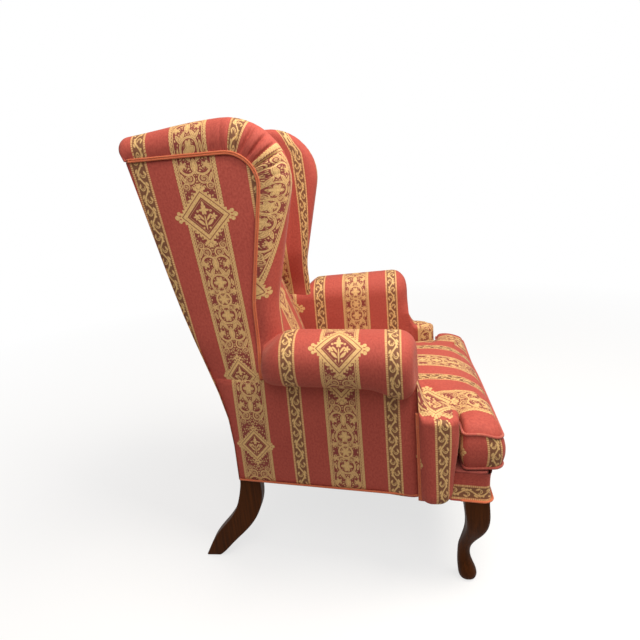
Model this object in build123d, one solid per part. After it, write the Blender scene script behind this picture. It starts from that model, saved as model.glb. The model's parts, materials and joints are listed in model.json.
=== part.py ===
from build123d import *
import math
import os

os.makedirs("parts", exist_ok=True)

# Upholstered wing chair with rolled arms and a loose T-shaped seat cushion.
# Millimetres. The chair stands on z = 0 and faces -Y; X = 0 is its middle.
# The +X side is built first and mirrored: +X is the sitter's left.

# Fits
clear = 0.3                   # gap round padding, covers and piping
cover = 3.0                   # thickness of an outside cover with its backing
wing_cover = 7.0              # outside wing cover with its wadding
piping_radius = 4.0
dowel_radius = 4.0
dowel_length = 40.0
dowel_play = 0.15
dowel_room = 0.5              # free depth at the end of a dowel hole

# Heights
glide_height = 4.0
glide_radius = 10.0
rail_bottom = 230.0           # legs end and seat rails start here
rail_height = 55.0
rail_top = rail_bottom + rail_height
frame_top = 1004.0            # top of posts, crest rail and wing top rails
seam_height = 504.0           # seam between outside wing and outside arm
wing_foot_rise = 74.0         # lower end of the wing padding above that seam
wing_foot = seam_height + wing_foot_rise

# Rear line of the chair: upright below, then raked, then a little less raked
rear_low_y = 226.0
bend_z = 400.0
kick_z = 668.0
low_rake = 16.4               # degrees
high_rake = 11.9              # degrees
bend_radius = 500.0
kick_radius = 1500.0
bend_margin = 80.0            # a bend nearer than this to an end is left out

# Timber sections
post_width = 32.7
post_depth = 40.0
rail_thick = 28.0
side_rail_thick = 40.0
post_outer_x = 247.0
post_inner_x = post_outer_x - post_width
post_rear_y = rear_low_y - cover - clear
post_front_y = post_rear_y - post_depth

# Arms: the outside arm panel runs back from its front edge and turns inward
arm_front_x = 325.0
arm_front_y = -214.0
arm_turn = 9.0                # degrees
stump_depth = 80.0
arm_rail_height = 55.0
arm_rail_setback = 30.0
arm_rail_notch = 12.0         # start of the notch for the wing, ahead of its padding
arm_inside = 62.0             # inside face of the arm, measured in from the panel
arm_roll_inside = 64.0
arm_roll_outside = 76.0
arm_roll_height = 120.0
arm_roll_length = 335.0
arm_roll_end = 40.0           # rounding of both ends of the roll

# Upright roll in front of each arm
front_roll_inner_x = 274.0
front_roll_outer_x = 366.0
front_roll_depth = 84.0
front_roll_top = 452.0
front_roll_round = 26.0
front_roll_neck = 8.0          # thickness where it meets the arm roll
front_roll_sweep = 30.0       # how far the hollow below that runs forward

# Seat front
front_rail_y = -357.0         # front face of the front rail
border_thick = 8.0
border_corner = 14.0

# Wings
wing_thick = 27.7
wing_front_y = 134.5          # front edge of the outside wing, low down
wing_knee_z = 685.0
wing_peak_y = 82.0            # where the front and top lines would meet
wing_lip = 4.0                # outside wing standing above the timber
wing_top = frame_top + wing_lip
wing_corner = 70.0
wing_bend = 250.0
wing_post_depth = 38.0
wing_edge = 2.0               # cover standing past the wing timber
wing_rail_height = 38.0
wing_pad_inner_x = 190.0
wing_pad_outer_x = 255.0
wing_pad_front_y = 84.0
wing_pad_peak_y = -6.0
wing_pad_rise = 78.0
wing_pad_peak_z = wing_top + wing_pad_rise
wing_pad_corner = 128.0
wing_pad_bend = 220.0
wing_pad_round = 24.0
roof_rear_y = 394.0           # rear end of the roll along the top
roof_rear_rise = 44.0
roof_rear_z = wing_top + roof_rear_rise
roof_rear_round = 18.0

# Inside back: points of its front line, foot to top
back_foot_y = 92.0
back_lumbar_y = 98.0
back_lumbar_z = 450.0
back_mid_y = 166.0
back_mid_z = 650.0
back_head_y = 268.0
back_rise = 60.0              # roll above the crest rail
back_top = frame_top + back_rise
back_round = 26.0
lumbar_radius = 220.0
mid_radius = 900.0
head_radius = 46.0

# Springing
wire_radius = 1.75
wire_reach = 16.0
wire_loops = 26
spring_pitch = 76.0
spring_count = 5
clip_thick = 1.2
clip_width = 16.0
clip_depth = 14.0
hessian_thick = 0.8
webbing_thick = 2.0
webbing_width = 50.0
webbing_heights = (520.0, 585.0, 770.0, 850.0, 930.0)
deck_thick = 11.5
dust_thick = 1.0

# Loose cushion
cushion_gap = 2.0
cushion_height = 82.0         # between the two welts
ear_half_width = 340.0
ear_front_y = -394.0
cushion_front_round = 36.0
cushion_ear_round = 16.0
cushion_neck_round = 12.0
cushion_rear_round = 34.0
filling_inset = 4.0
seam_inset = 8.0              # boxing drawn in at the welts
welt_ease = 0.8               # lower welt kept off the swell of the boxing
crown_rise = 22.0

# Legs
front_leg_size = 55.0
front_leg_x = 314.5
front_leg_y = -335.5
cabriole_throw = 25.5         # how far the ankle stands behind the knee
cabriole_foot = 0.686         # setback of the foot, as a share of the throw
knee_lean = 0.7               # sideways share of the cabriole bend
rear_leg_width = 38.0
rear_leg_depth = 53.0
rear_leg_x = 232.0
rear_leg_y = 201.5            # middle of the leg at the rail
rear_leg_sweep = 124.5        # how far the foot stands behind that

spring_z = rail_top + clip_thick + wire_radius
hessian_z = spring_z + wire_radius + clip_thick + clear
deck_z = hessian_z + hessian_thick
deck_top = deck_z + deck_thick
cushion_z = deck_top + clear

arm_slope = math.tan(math.radians(arm_turn))
arm_scale = 1 / math.cos(math.radians(arm_turn))
arm_place = Pos(arm_front_x, arm_front_y, 0) * Rot(0, 0, arm_turn)
timber_outer = -cover - clear
timber_inner = timber_outer - side_rail_thick
arm_rail_z = seam_height + 1.0
front_rail_rear_y = front_rail_y + rail_thick
wing_inner_x = post_outer_x - wing_thick
far = 2000.0


def panel_x(y):
    """X of the outside arm panel at a depth y."""
    return arm_front_x - arm_slope * (y - arm_front_y)


def rear_y(z):
    """Y of the rear line, corners left sharp."""
    if z < bend_z:
        return rear_low_y
    if z < kick_z:
        return rear_low_y + (z - bend_z) * math.tan(math.radians(low_rake))
    return rear_y(kick_z - 1e-6) + (z - kick_z) * math.tan(math.radians(high_rake))


def block(x0, x1, y0, y1, z0, z1):
    """Box between two corners."""
    return Pos((x0 + x1) / 2, (y0 + y1) / 2, (z0 + z1) / 2) * Box(x1 - x0, y1 - y0, z1 - z0)


def side_prism(edges, x0, x1):
    """A side view (y, z) pulled from x0 to x1."""
    return extrude(Plane.YZ.offset(x0) * make_face(edges), amount=x1 - x0, dir=(1, 0, 0))


def plan_prism(edges, z0, z1):
    """A plan (x, y) pulled from z0 to z1."""
    return extrude(Plane.XY.offset(z0) * make_face(edges), amount=z1 - z0, dir=(0, 0, 1))


def rear_path(ahead, z0, z1):
    """The rear line moved forward, from z0 up to z1."""
    points = [(rear_y(z0) - ahead, z0)]
    radii = []
    for z, radius in ((bend_z, bend_radius), (kick_z, kick_radius)):
        if z0 < z - bend_margin and z1 > z + bend_margin:
            points.append((rear_y(z) - ahead, z))
            radii.append(radius)
    points.append((rear_y(z1) - ahead, z1))
    if not radii:
        return Line(*points)
    return FilletPolyline(*points, radius=radii)


def rear_slab(ahead, thick, x0, x1, z0, z1):
    """A piece that follows the rear line."""
    back = rear_path(ahead, z0, z1)
    front = rear_path(ahead + thick, z0, z1)
    ends = [Line(back @ 0, front @ 0), Line(back @ 1, front @ 1)]
    return side_prism(back.edges() + front.edges() + ends, x0, x1)


def wing_outline(inset, z0):
    """Side view of the outside wing, its edges moved in by inset, from z0 up."""
    top = wing_top - inset
    lean = (wing_front_y - wing_peak_y) / (wing_top - wing_knee_z)
    front = wing_front_y + inset
    peak = front - lean * (top - wing_knee_z)
    edge = FilletPolyline(
        (front, z0), (front, wing_knee_z), (peak, top), (rear_y(top), top),
        radius=[wing_bend - inset, wing_corner - inset],
    )
    back = rear_path(0, z0, top)
    return edge.edges() + back.edges() + [Line(edge @ 0, back @ 0)]


def both(shape):
    """A +X piece and its mirror image."""
    return shape, mirror(shape, about=Plane.YZ)


def turned(shape):
    """A piece drawn along the arm, put in its place."""
    return arm_place * shape


def dowel(at, along):
    """Axis of one dowel, centred on a joint face."""
    return Plane(origin=at, z_dir=along)


def bore(shape, axes):
    """Cut the dowel holes that reach into a timber."""
    box = shape.bounding_box()
    hole = Cylinder(dowel_radius + dowel_play, dowel_length + 2 * dowel_room)
    for axis in axes:
        tool = axis * hole
        other = tool.bounding_box()
        apart = (
            other.max.X < box.min.X or other.min.X > box.max.X
            or other.max.Y < box.min.Y or other.min.Y > box.max.Y
            or other.max.Z < box.min.Z or other.min.Z > box.max.Z
        )
        if not apart:
            shape = shape - tool
    return shape


# Timber frame, +X side. grow widens a piece to cut its room out of the padding.
def rear_post(grow=0):
    return rear_slab(
        cover + clear - grow, post_depth + 2 * grow,
        post_inner_x - grow, post_outer_x + grow, rail_bottom, frame_top,
    )


def side_rail(grow=0):
    long = turned(block(
        timber_inner - grow, timber_outer + grow, -far, far, rail_bottom - grow, rail_top + grow))
    return long & block(0, far, front_rail_rear_y - grow, post_front_y + grow, 0, far)


def arm_stump(grow=0):
    tall = turned(block(
        timber_inner - grow, timber_outer + grow, -far, stump_depth + grow, rail_top, arm_rail_z))
    return tall & block(0, far, arm_front_y - grow, far, 0, far)


def arm_rail(grow=0):
    long = turned(block(
        timber_inner - grow, timber_outer + grow, arm_rail_setback - grow, far,
        arm_rail_z - grow, arm_rail_z + arm_rail_height + grow,
    ))
    long = long & block(0, far, -far, wing_front_y + wing_edge + grow, 0, far)
    return long - block(post_outer_x + grow, far, wing_pad_front_y - arm_rail_notch + grow, far, 0, far)


def wing_post(grow=0):
    behind = wing_front_y + wing_edge + wing_post_depth
    lean = (wing_front_y - wing_peak_y) / (wing_top - wing_knee_z)
    top = frame_top - wing_rail_height
    band = Polyline(
        (0, rail_top), (behind, rail_top), (behind, wing_knee_z),
        (behind - lean * (top - wing_knee_z), top), (0, top), close=True,
    )
    whole = side_prism(wing_outline(wing_edge - grow, rail_top), wing_inner_x - grow, post_outer_x + grow)
    return whole & side_prism(band.edges(), wing_inner_x - grow, post_outer_x + grow)


def wing_top_rail(grow=0):
    low = frame_top - wing_rail_height
    ahead = cover + clear + post_depth
    band = Polyline(
        (0, low), (rear_y(low) - ahead, low), (rear_y(frame_top) - ahead, frame_top), (0, frame_top),
        close=True,
    )
    whole = side_prism(wing_outline(wing_edge, seam_height), wing_inner_x, post_outer_x)
    return whole & side_prism(band.edges(), wing_inner_x - grow, post_outer_x + grow)


def plan_right(points, radius):
    """Closed plan through +X points and their mirror images."""
    mirrored = [(-x, y) for x, y in reversed(points)]
    return FilletPolyline(*points, *mirrored, radius=radius + radius[::-1], close=True).edges()


crest_rail_height = 54.0
lower_rail_z = 330.0
lower_rail_height = 42.0
front_rail_half = panel_x(front_rail_rear_y) - (cover + clear) * arm_scale
rear_rail_y = post_rear_y - rail_thick

front_seat_rail = block(
    -front_rail_half, front_rail_half, front_rail_y, front_rail_rear_y, rail_bottom, rail_top)
rear_seat_rail = block(-post_inner_x, post_inner_x, rear_rail_y, post_rear_y, rail_bottom, rail_top)
lower_back_rail = block(
    -post_inner_x, post_inner_x, rear_rail_y, post_rear_y, lower_rail_z, lower_rail_z + lower_rail_height)
crest_rail = rear_slab(
    cover + clear, rail_thick, -post_inner_x, post_inner_x, frame_top - crest_rail_height, frame_top)

# Corner blocks between the rails
block_leg = 78.0
block_drop = 3.0


def corner_block(y_face, way):
    """Three-cornered block in the angle of a side rail and a cross rail."""
    def inner(y):
        return panel_x(y) + timber_inner * arm_scale
    corner = (inner(y_face), y_face)
    along = (inner(y_face + way * block_leg), y_face + way * block_leg)
    across = (inner(y_face) - block_leg, y_face)
    plan = Polyline(corner, along, across, close=True)
    whole = plan_prism(plan.edges(), rail_bottom + block_drop, rail_top - block_drop)
    return whole - block(post_inner_x, far, post_front_y, far, 0, far)


# Dowels: two to a joint
mid_rail = rail_bottom + rail_height / 2
dowel_spread = 13.0
y_along = (0, 1, 0)
x_along = (1, 0, 0)
z_along = (0, 0, 1)
left_axes = []
for step in (-dowel_spread, dowel_spread):
    rear_mid = (rear_rail_y + post_rear_y) / 2
    left_axes.append(dowel((post_inner_x, rear_mid, mid_rail + step), x_along))
    lower_joint_z = lower_rail_z + lower_rail_height / 2 + step * 0.8
    left_axes.append(dowel((post_inner_x, rear_mid, lower_joint_z), x_along))
    crest_mid_z = frame_top - crest_rail_height / 2 + step
    crest_mid_y = rear_y(crest_mid_z) - cover - clear - rail_thick / 2
    left_axes.append(dowel((post_inner_x, crest_mid_y, crest_mid_z), x_along))
    side_mid = timber_outer - side_rail_thick / 2
    left_axes.append(dowel((post_inner_x + post_width * 0.45, post_front_y, mid_rail + step), y_along))
    left_axes.append(dowel(
        (panel_x(front_rail_rear_y) + side_mid * arm_scale, front_rail_rear_y, mid_rail + step), y_along))
    stump_mid = (arm_rail_setback + stump_depth) / 2
    for z in (rail_top, arm_rail_z):
        spot = turned(Pos(side_mid, stump_mid + step, z)).position
        left_axes.append(dowel(spot, z_along))
    wing_mid = wing_front_y + wing_edge + wing_post_depth / 2
    wing_x = wing_inner_x + wing_thick / 2
    left_axes.append(dowel((wing_x, wing_mid + step * 0.7, rail_top), z_along))
    left_axes.append(dowel(
        (wing_x + 5, wing_front_y + wing_edge, arm_rail_z + arm_rail_height / 2 + step), y_along))
    top_z = frame_top - wing_rail_height / 2 + step * 0.7
    top_y = rear_y(top_z) - cover - clear - post_depth
    left_axes.append(dowel((wing_x, top_y, top_z), y_along))
rail_joint_z = frame_top - wing_rail_height
wing_share = (wing_top - rail_joint_z) / (wing_top - wing_knee_z)
wing_head_y = wing_peak_y + (wing_front_y - wing_peak_y) * wing_share + wing_post_depth * 0.72
left_axes.append(dowel((wing_inner_x + wing_thick / 2, wing_head_y, rail_joint_z), z_along))
left_axes.append(dowel((front_leg_x - 10, front_rail_y + rail_thick / 2, rail_bottom), z_along))
left_axes.append(dowel((front_leg_x + 8, front_leg_y + 17, rail_bottom), z_along))
for y in (post_front_y + 9, post_rear_y - 9):
    left_axes.append(dowel((rear_leg_x, y, rail_bottom), z_along))

dowel_axes = []
for axis in left_axes:
    dowel_axes.append(axis)
    far_side = Vector(-axis.origin.X, axis.origin.Y, axis.origin.Z)
    dowel_axes.append(Plane(origin=far_side, z_dir=axis.z_dir))
peg = chamfer(Cylinder(dowel_radius, dowel_length).edges(), 1.0)
frame_dowels = Compound(children=[axis * peg for axis in dowel_axes])


# Legs. Sections go from the rail down to the glide, each number a share of a named size.
def leg_height(share):
    return glide_height + (rail_bottom - glide_height) * share


def cabriole_leg():
    """Height, setback of the axis, size, and corner as a share of that size."""
    steps = [
        (1, 0, 1, 0.09), (0.889, -0.04, 0.98, 0.11), (0.779, -0.1, 0.945, 0.155), (0.677, -0.06, 0.88, 0.225),
        (0.584, 0.14, 0.79, 0.3), (0.496, 0.47, 0.665, 0.37), (0.416, 0.765, 0.565, 0.42),
        (0.336, 0.96, 0.52, 0.455), (0.257, 1, 0.527, 0.465), (0.181, 0.94, 0.61, 0.475),
        (0.115, 0.82, 0.71, 0.475), (0.0575, 0.725, 0.765, 0.475), (0, cabriole_foot, 0.655, 0.47),
    ]
    faces = []
    for height, throw, share, corner in steps:
        back = cabriole_throw * throw
        size = front_leg_size * share
        at = Pos(front_leg_x - knee_lean * back, front_leg_y + back, leg_height(height))
        faces.append(at * RectangleRounded(size, size, size * corner))
    return loft(faces)


def sabre_leg():
    """Height, sweep to the rear, depth and width."""
    steps = [
        (1, 0, 1, 1), (0.823, 0.028, 1.094, 1), (0.655, 0.104, 1.189, 0.974), (0.496, 0.257, 1.264, 0.96),
        (0.363, 0.454, 1.321, 0.947), (0.226, 0.679, 1.208, 0.921), (0.084, 0.876, 0.962, 0.895),
        (0, 1, 0.755, 0.868),
    ]
    faces = []
    for height, sweep, depth, wide in steps:
        at = Pos(rear_leg_x, rear_leg_y + rear_leg_sweep * sweep, leg_height(height))
        faces.append(at * RectangleRounded(
            rear_leg_width * wide, rear_leg_depth * depth, rear_leg_width * 0.13))
    return loft(faces)


front_leg = bore(cabriole_leg(), left_axes)
rear_leg = bore(sabre_leg(), left_axes)
foot_setback = cabriole_throw * cabriole_foot
front_foot = (front_leg_x - knee_lean * foot_setback, front_leg_y + foot_setback)
rear_foot = (rear_leg_x, rear_leg_y + rear_leg_sweep)
glide = chamfer(Cylinder(glide_radius, glide_height).faces().sort_by(Axis.Z)[0].edges(), 1.2)
glides = []
for x, y in (front_foot, rear_foot):
    for side in (x, -x):
        glides.append(Pos(side, y, glide_height / 2) * glide)


# Padding and covers
def along(solid, line, x):
    """Edges of a side prism that come from a line of its side view, at x."""
    found = []
    for edge in line.edges():
        spot = edge @ 0.5
        target = Vector(x, spot.X, spot.Y)
        found.append(min(solid.edges(), key=lambda e: (e @ 0.5 - target).length))
    return found


back_gap = cover + clear + post_depth + webbing_thick + clear
back_line = FilletPolyline(
    (back_foot_y, cushion_z), (back_lumbar_y, back_lumbar_z), (back_mid_y, back_mid_z),
    (back_head_y, back_top), (roof_rear_y - 2, roof_rear_z - 4), (rear_y(wing_top) + 2, frame_top + clear),
    radius=[lumbar_radius, mid_radius, head_radius, roof_rear_round],
)
back_behind = rear_path(back_gap, cushion_z, frame_top + clear)
back_edges = back_line.edges() + back_behind.edges() + [
    Line(back_line @ 0, back_behind @ 0), Line(back_line @ 1, back_behind @ 1)]
back_half = wing_pad_inner_x - clear
inside_back = side_prism(back_edges, -back_half, back_half)
rounded_edges = along(inside_back, back_line, back_half) + along(inside_back, back_line, -back_half)
inside_back = fillet(
    [e for e in rounded_edges if e.center().Z < back_top - 70 and e.center().Y < back_head_y], back_round)

wing_line = FilletPolyline(
    (wing_pad_front_y, wing_foot), (wing_pad_front_y, wing_knee_z), (wing_pad_peak_y, wing_pad_peak_z),
    (roof_rear_y, roof_rear_z), (rear_y(wing_top) + 2, wing_top + clear),
    radius=[wing_pad_bend, wing_pad_corner, roof_rear_round],
)
wing_gap = back_gap


def wing_shape(grow=0):
    """Whole side view of a wing's padding."""
    behind = rear_path(wing_gap, wing_foot, wing_top + clear)
    edges = wing_line.edges() + behind.edges() + [
        Line(wing_line @ 0, behind @ 0), Line(wing_line @ 1, behind @ 1)]
    return side_prism(edges, wing_pad_inner_x - grow, wing_pad_outer_x + grow)


wing_pad = wing_shape()
wing_pad = fillet(
    along(wing_pad, wing_line, wing_pad_outer_x) + along(wing_pad, wing_line, wing_pad_inner_x),
    wing_pad_round)
wing_room = side_prism(wing_outline(-clear, seam_height - 40), wing_inner_x - clear, wing_pad_outer_x + 40)
wing_pad = wing_pad - wing_room

arm_roll_z = seam_height - clear + arm_roll_height / 2
arm_roll_wide = arm_roll_inside + arm_roll_outside
arm_roll_corner = min(arm_roll_height, arm_roll_wide) / 2 - 1
arm_roll_mid = (arm_roll_outside - arm_roll_inside) / 2
roll_face = Plane.XZ * Pos(arm_roll_mid, arm_roll_z) * RectangleRounded(
    arm_roll_wide, arm_roll_height, arm_roll_corner)
arm_roll = extrude(roll_face, amount=arm_roll_length, dir=(0, 1, 0))
end_edges = arm_roll.faces().sort_by(Axis.Y)[0].edges() + arm_roll.faces().sort_by(Axis.Y)[-1].edges()
arm_roll = fillet(end_edges, arm_roll_end)
arm_web = turned(block(-arm_inside, timber_inner - clear, -far, far, rail_top + 1, arm_roll_z - 1))
arm_web = arm_web & block(0, far, arm_front_y + clear, post_front_y - clear, 0, far)
wing_cut = Pos(0, -clear, -clear) * wing_shape(clear)
arm_pad = turned(arm_roll) + arm_web
cord = piping_radius + clear
cord_room = side_prism(wing_outline(-cord, seam_height - wing_foot_rise), post_outer_x, far)
for room in (arm_stump(clear), arm_rail(clear), wing_post(clear), wing_cut, cord_room):
    arm_pad = arm_pad - room

outside_arm = turned(block(-cover, 0, -far, far, rail_bottom + 2, seam_height - 2 * clear))
rear_edge = rear_path(0, rail_bottom, wing_top)
body_side = rear_edge.edges() + [
    Line(rear_edge @ 0, (arm_front_y, rail_bottom)),
    Line((arm_front_y, rail_bottom), (arm_front_y, wing_top)),
    Line((arm_front_y, wing_top), rear_edge @ 1)]
outside_arm = outside_arm & side_prism(body_side, 0, far)
outside_wing = side_prism(
    wing_outline(0, seam_height), post_outer_x + clear, post_outer_x + clear + wing_cover)
# The outside back widens below the seam, to the insides of the outside arms
back_flare = 60.0
back_low_half = panel_x(rear_low_y) - cover * arm_scale - clear
back_points = [
    (back_low_half, rail_bottom + 2), (back_low_half, bend_z - back_flare), (post_outer_x, seam_height - 2),
    (post_outer_x, frame_top)]
back_view = Polyline(*back_points, *[(-x, z) for x, z in reversed(back_points)], close=True)
outside_back = extrude(Plane.XZ * make_face(back_view.edges()), amount=far, dir=(0, 1, 0))
outside_back = outside_back & rear_slab(0, cover, -far, far, rail_bottom + 2, frame_top)

front_roll_rear = arm_front_y - clear
front_roll_front = front_roll_rear - front_roll_depth
front_roll = block(
    front_roll_inner_x, front_roll_outer_x, front_roll_front, front_roll_rear,
    rail_bottom - 2, front_roll_top)
front_roll = fillet(front_roll.edges().filter_by(Axis.Z).group_by(Axis.Y)[0], front_roll_round)
top_rim = front_roll.faces().sort_by(Axis.Z)[-1].edges()
low_rim = front_roll.faces().sort_by(Axis.Z)[0].edges()
rims = [e for e in top_rim + low_rim if e.center().Y < front_roll_rear - 1]
front_roll = fillet(rims, front_roll_round - 4)
neck_top = seam_height - 2 * clear
neck_low = front_roll_top - front_roll_round
neck_front = front_roll_rear - front_roll_neck
hollow = ThreePointArc(
    (neck_front, neck_top),
    (neck_front - front_roll_sweep * 0.24, neck_top - (neck_top - front_roll_top) * 0.6),
    (neck_front - front_roll_sweep, front_roll_top - 3))
neck_base = Polyline(
    hollow @ 1, (neck_front - front_roll_sweep, neck_low), (front_roll_rear, neck_low),
    (front_roll_rear, neck_top), hollow @ 0)
neck = side_prism(hollow.edges() + neck_base.edges(), front_roll_inner_x + 2, arm_front_x)
front_roll = front_roll + neck - turned(
    block(-far, timber_outer + clear, -far, far, 0, rail_top + clear))


def border_plan(inset_side, inset_front):
    """Plan of the seat front, in front of the upright rolls."""
    rear = front_roll_front - clear
    front = front_rail_y - clear - border_thick + inset_front
    return [(panel_x(rear) - inset_side * arm_scale, rear), (panel_x(front) - inset_side * arm_scale, front)]


outer_plan = plan_right(border_plan(0, 0), [0, border_corner])
room_plan = border_plan(cover, border_thick)
room_plan[0] = (room_plan[0][0], room_plan[0][1] + 1)
inner_plan = plan_right(room_plan, [0, 0])
front_border = plan_prism(outer_plan, rail_bottom + 2, deck_z - clear)
front_border = front_border - plan_prism(inner_plan, 0, far)

# Seat deck: T-shaped, like the cushion that lies on it
def inside_x(y, gap):
    return panel_x(y) - (arm_inside + gap) * arm_scale


deck_rear = back_foot_y - clear
ear_rear = front_roll_front - clear
deck_points = border_plan(0, 0)[::-1] + [
    (inside_x(ear_rear, clear), ear_rear), (inside_x(deck_rear, clear), deck_rear)]
seat_deck = plan_prism(plan_right(deck_points, [border_corner, 0, 0, 0]), deck_z, deck_top)

hessian_front = front_rail_y + 6
hessian_rear = post_rear_y - 6
hessian_points = [
    (inside_x(front_roll_front, clear) - 20, hessian_front), (inside_x(hessian_rear, clear), hessian_rear)]
spring_hessian = plan_prism(plan_right(hessian_points, [0, 0]), hessian_z, deck_z)

dust_points = [
    (front_rail_half - 6, front_rail_y + 4), (front_rail_half - 6, front_rail_rear_y),
    (post_outer_x - 4, post_rear_y - 4)]
dust_cover = plan_prism(plan_right(dust_points, [0, 0, 0]), rail_bottom - dust_thick, rail_bottom)
leg_room = 1.0
for side in (1, -1):
    x = side * front_leg_x
    half = front_leg_size / 2 + leg_room
    dust_cover = dust_cover - block(x - half, x + half, front_leg_y - half, front_leg_y + half, 0, far)
    x = side * rear_leg_x
    half = rear_leg_width / 2 + leg_room
    behind = rear_leg_y - rear_leg_depth / 2 - leg_room
    dust_cover = dust_cover - block(x - half, x + half, behind, far, 0, far)


# Zigzag springs: straight bars joined by half loops, front rail to rear rail
def zigzag():
    first = (front_rail_y + front_rail_rear_y) / 2
    last = (rear_rail_y + post_rear_y) / 2
    pitch = (last - first) / wire_loops
    half = pitch / 2
    edges = []
    for n in range(wire_loops + 1):
        y = first + n * pitch
        way = 1 if n % 2 == 0 else -1
        edges.append(Line((-way * wire_reach, y), (way * wire_reach, y)))
        if n < wire_loops:
            top = (way * (wire_reach + half), y + half)
            edges.append(ThreePointArc((way * wire_reach, y), top, (way * wire_reach, y + pitch)))
    path = Wire(edges)
    section = Plane(origin=path @ 0, z_dir=path % 0) * Circle(wire_radius)
    print("spring: least gap between neighbouring bars %.2f mm" % (pitch - 2 * wire_radius))
    return Pos(0, 0, spring_z) * sweep(section, path=path)


spring = zigzag()
spring_x = [(n - (spring_count - 1) / 2) * spring_pitch for n in range(spring_count)]
seat_springs = Compound(children=[Pos(x, 0, 0) * spring for x in spring_x])


def spring_clip(way):
    """Folded clip holding the end bar of a spring on a rail."""
    wrap = wire_radius + 0.05
    low = rail_top - spring_z
    high = wrap + clip_thick
    shape = block(-clip_width / 2, clip_width / 2, -wrap - clip_thick, clip_depth, low, high)
    shape = shape - block(-clip_width, clip_width, -wrap, far, -wrap, wrap)
    return Pos(0, 0, spring_z) * Rot(0, 0, 0 if way > 0 else 180) * shape


clips = []
for x in spring_x:
    clips.append(Pos(x, (front_rail_y + front_rail_rear_y) / 2, 0) * spring_clip(1))
    clips.append(Pos(x, (rear_rail_y + post_rear_y) / 2, 0) * spring_clip(-1))

strips = []
for z in webbing_heights:
    rake = low_rake if z < kick_z else high_rake
    at = Pos(0, rear_y(z) - cover - clear - post_depth, z) * Rot(-rake, 0, 0)
    strips.append(at * block(
        -post_outer_x, post_outer_x, -webbing_thick, 0, -webbing_width / 2, webbing_width / 2))

# Piping
wing_cord_line = FilletPolyline(
    (wing_front_y, seam_height + 6), (wing_front_y, wing_knee_z), (wing_peak_y, wing_top),
    (rear_y(wing_top) - 6, wing_top),
    radius=[wing_bend, wing_corner],
)
wing_cord_path = Pos(wing_pad_outer_x + cord, 0, 0) * (Plane.YZ * Wire(wing_cord_line.edges()))
wing_piping = sweep(
    Plane(origin=wing_cord_path @ 0, z_dir=wing_cord_path % 0) * Circle(piping_radius), path=wing_cord_path)
arm_cord_x = panel_x(arm_front_y) + cord * arm_scale - arm_slope * cord
arm_piping = Pos(arm_cord_x, arm_front_y + cord, 0) * Cylinder(
    piping_radius, seam_height - rail_bottom - 22, align=(Align.CENTER, Align.CENTER, Align.MIN))
arm_piping = Pos(0, 0, rail_bottom + 14) * arm_piping
side_piping_length = (rear_low_y - arm_front_y) * arm_scale - 16
side_piping = turned(
    Pos(cord, 12, rail_bottom + 2 + piping_radius) * Rot(-90, 0, 0) * Cylinder(
        piping_radius, side_piping_length, align=(Align.CENTER, Align.CENTER, Align.MIN)))
front_cord_rear = front_roll_front - 2
front_cord_front = front_rail_y - clear - border_thick - cord
front_cord_points = [
    (panel_x(front_cord_rear) + cord * arm_scale, front_cord_rear),
    (panel_x(front_cord_front) + cord * arm_scale, front_cord_front)]
front_cord_all = front_cord_points + [(-x, y) for x, y in reversed(front_cord_points)]
front_cord_line = FilletPolyline(*front_cord_all, radius=border_corner + cord)
front_cord_path = Pos(0, 0, rail_bottom + 2 + piping_radius) * Wire(front_cord_line.edges())
front_piping = sweep(
    Plane(origin=front_cord_path @ 0, z_dir=front_cord_path % 0) * Circle(piping_radius),
    path=front_cord_path)


# Loose cushion
def cushion_plan(inset):
    """T-shaped plan, its sides drawn in by inset."""
    neck_y = ear_rear - cushion_gap - inset
    rear = back_foot_y - cushion_gap - inset
    points = [
        (ear_half_width - inset, ear_front_y + inset), (ear_half_width - inset, neck_y),
        (inside_x(neck_y, cushion_gap) - inset, neck_y), (inside_x(rear, cushion_gap) - inset, rear)]
    ear_round = max(cushion_ear_round - inset, 4)
    ear_reach = ear_half_width - inside_x(neck_y, cushion_gap)
    radius = [
        max(cushion_front_round - inset, 5), ear_round,
        min(cushion_neck_round + inset, 0.9 * (ear_reach - ear_round)), max(cushion_rear_round - inset, 5)]
    return plan_right(points, radius)


def cushion_shape(steps):
    """Cushion through steps of height and inset."""
    return loft([Plane.XY.offset(z) * make_face(cushion_plan(inset)) for z, inset in steps])


low_seam = cushion_z + piping_radius
top_seam = low_seam + cushion_height
mid_seam = (low_seam + top_seam) / 2
cushion_body = cushion_shape([
    (cushion_z, seam_inset + 5), (low_seam, seam_inset), (mid_seam, 0), (top_seam, seam_inset),
    (top_seam + crown_rise * 0.55, seam_inset + 9), (top_seam + crown_rise, seam_inset + 22)])
dome_steps = [(-1, 31), (6, 52), (10.5, 82), (13, 118)]
dome = []
for rise, inset in dome_steps:
    front_y = ear_front_y + inset
    rear = back_foot_y - cushion_gap - inset
    points = [(inside_x(front_y, cushion_gap) - inset, front_y), (inside_x(rear, cushion_gap) - inset, rear)]
    edges = plan_right(points, [40, 40])
    dome.append(Plane.XY.offset(top_seam + crown_rise + rise) * make_face(edges))
cushion_body = cushion_body + loft(dome)
inset = filling_inset
rim = seam_inset + inset
filling_steps = [
    (cushion_z + inset, rim + 5), (low_seam + inset, rim), (mid_seam, inset), (top_seam - inset, rim),
    (top_seam + crown_rise * 0.5 - inset, rim + 9), (top_seam + crown_rise - 2 * inset, rim + 18)]
cushion_filling = cushion_shape(filling_steps)
cushion_room = cushion_shape([
    (z + clear * way, d - clear) for (z, d), way in zip(filling_steps, (-1, -1, 0, 1, 1, 1))])
cushion_cover = cushion_body - cushion_room


def cushion_welt(z, inset):
    """Cord round the cushion."""
    path = Pos(0, 0, z) * Wire(cushion_plan(inset))
    return sweep(Plane(origin=path @ 0, z_dir=path % 0) * Circle(piping_radius), path=path)


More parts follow.
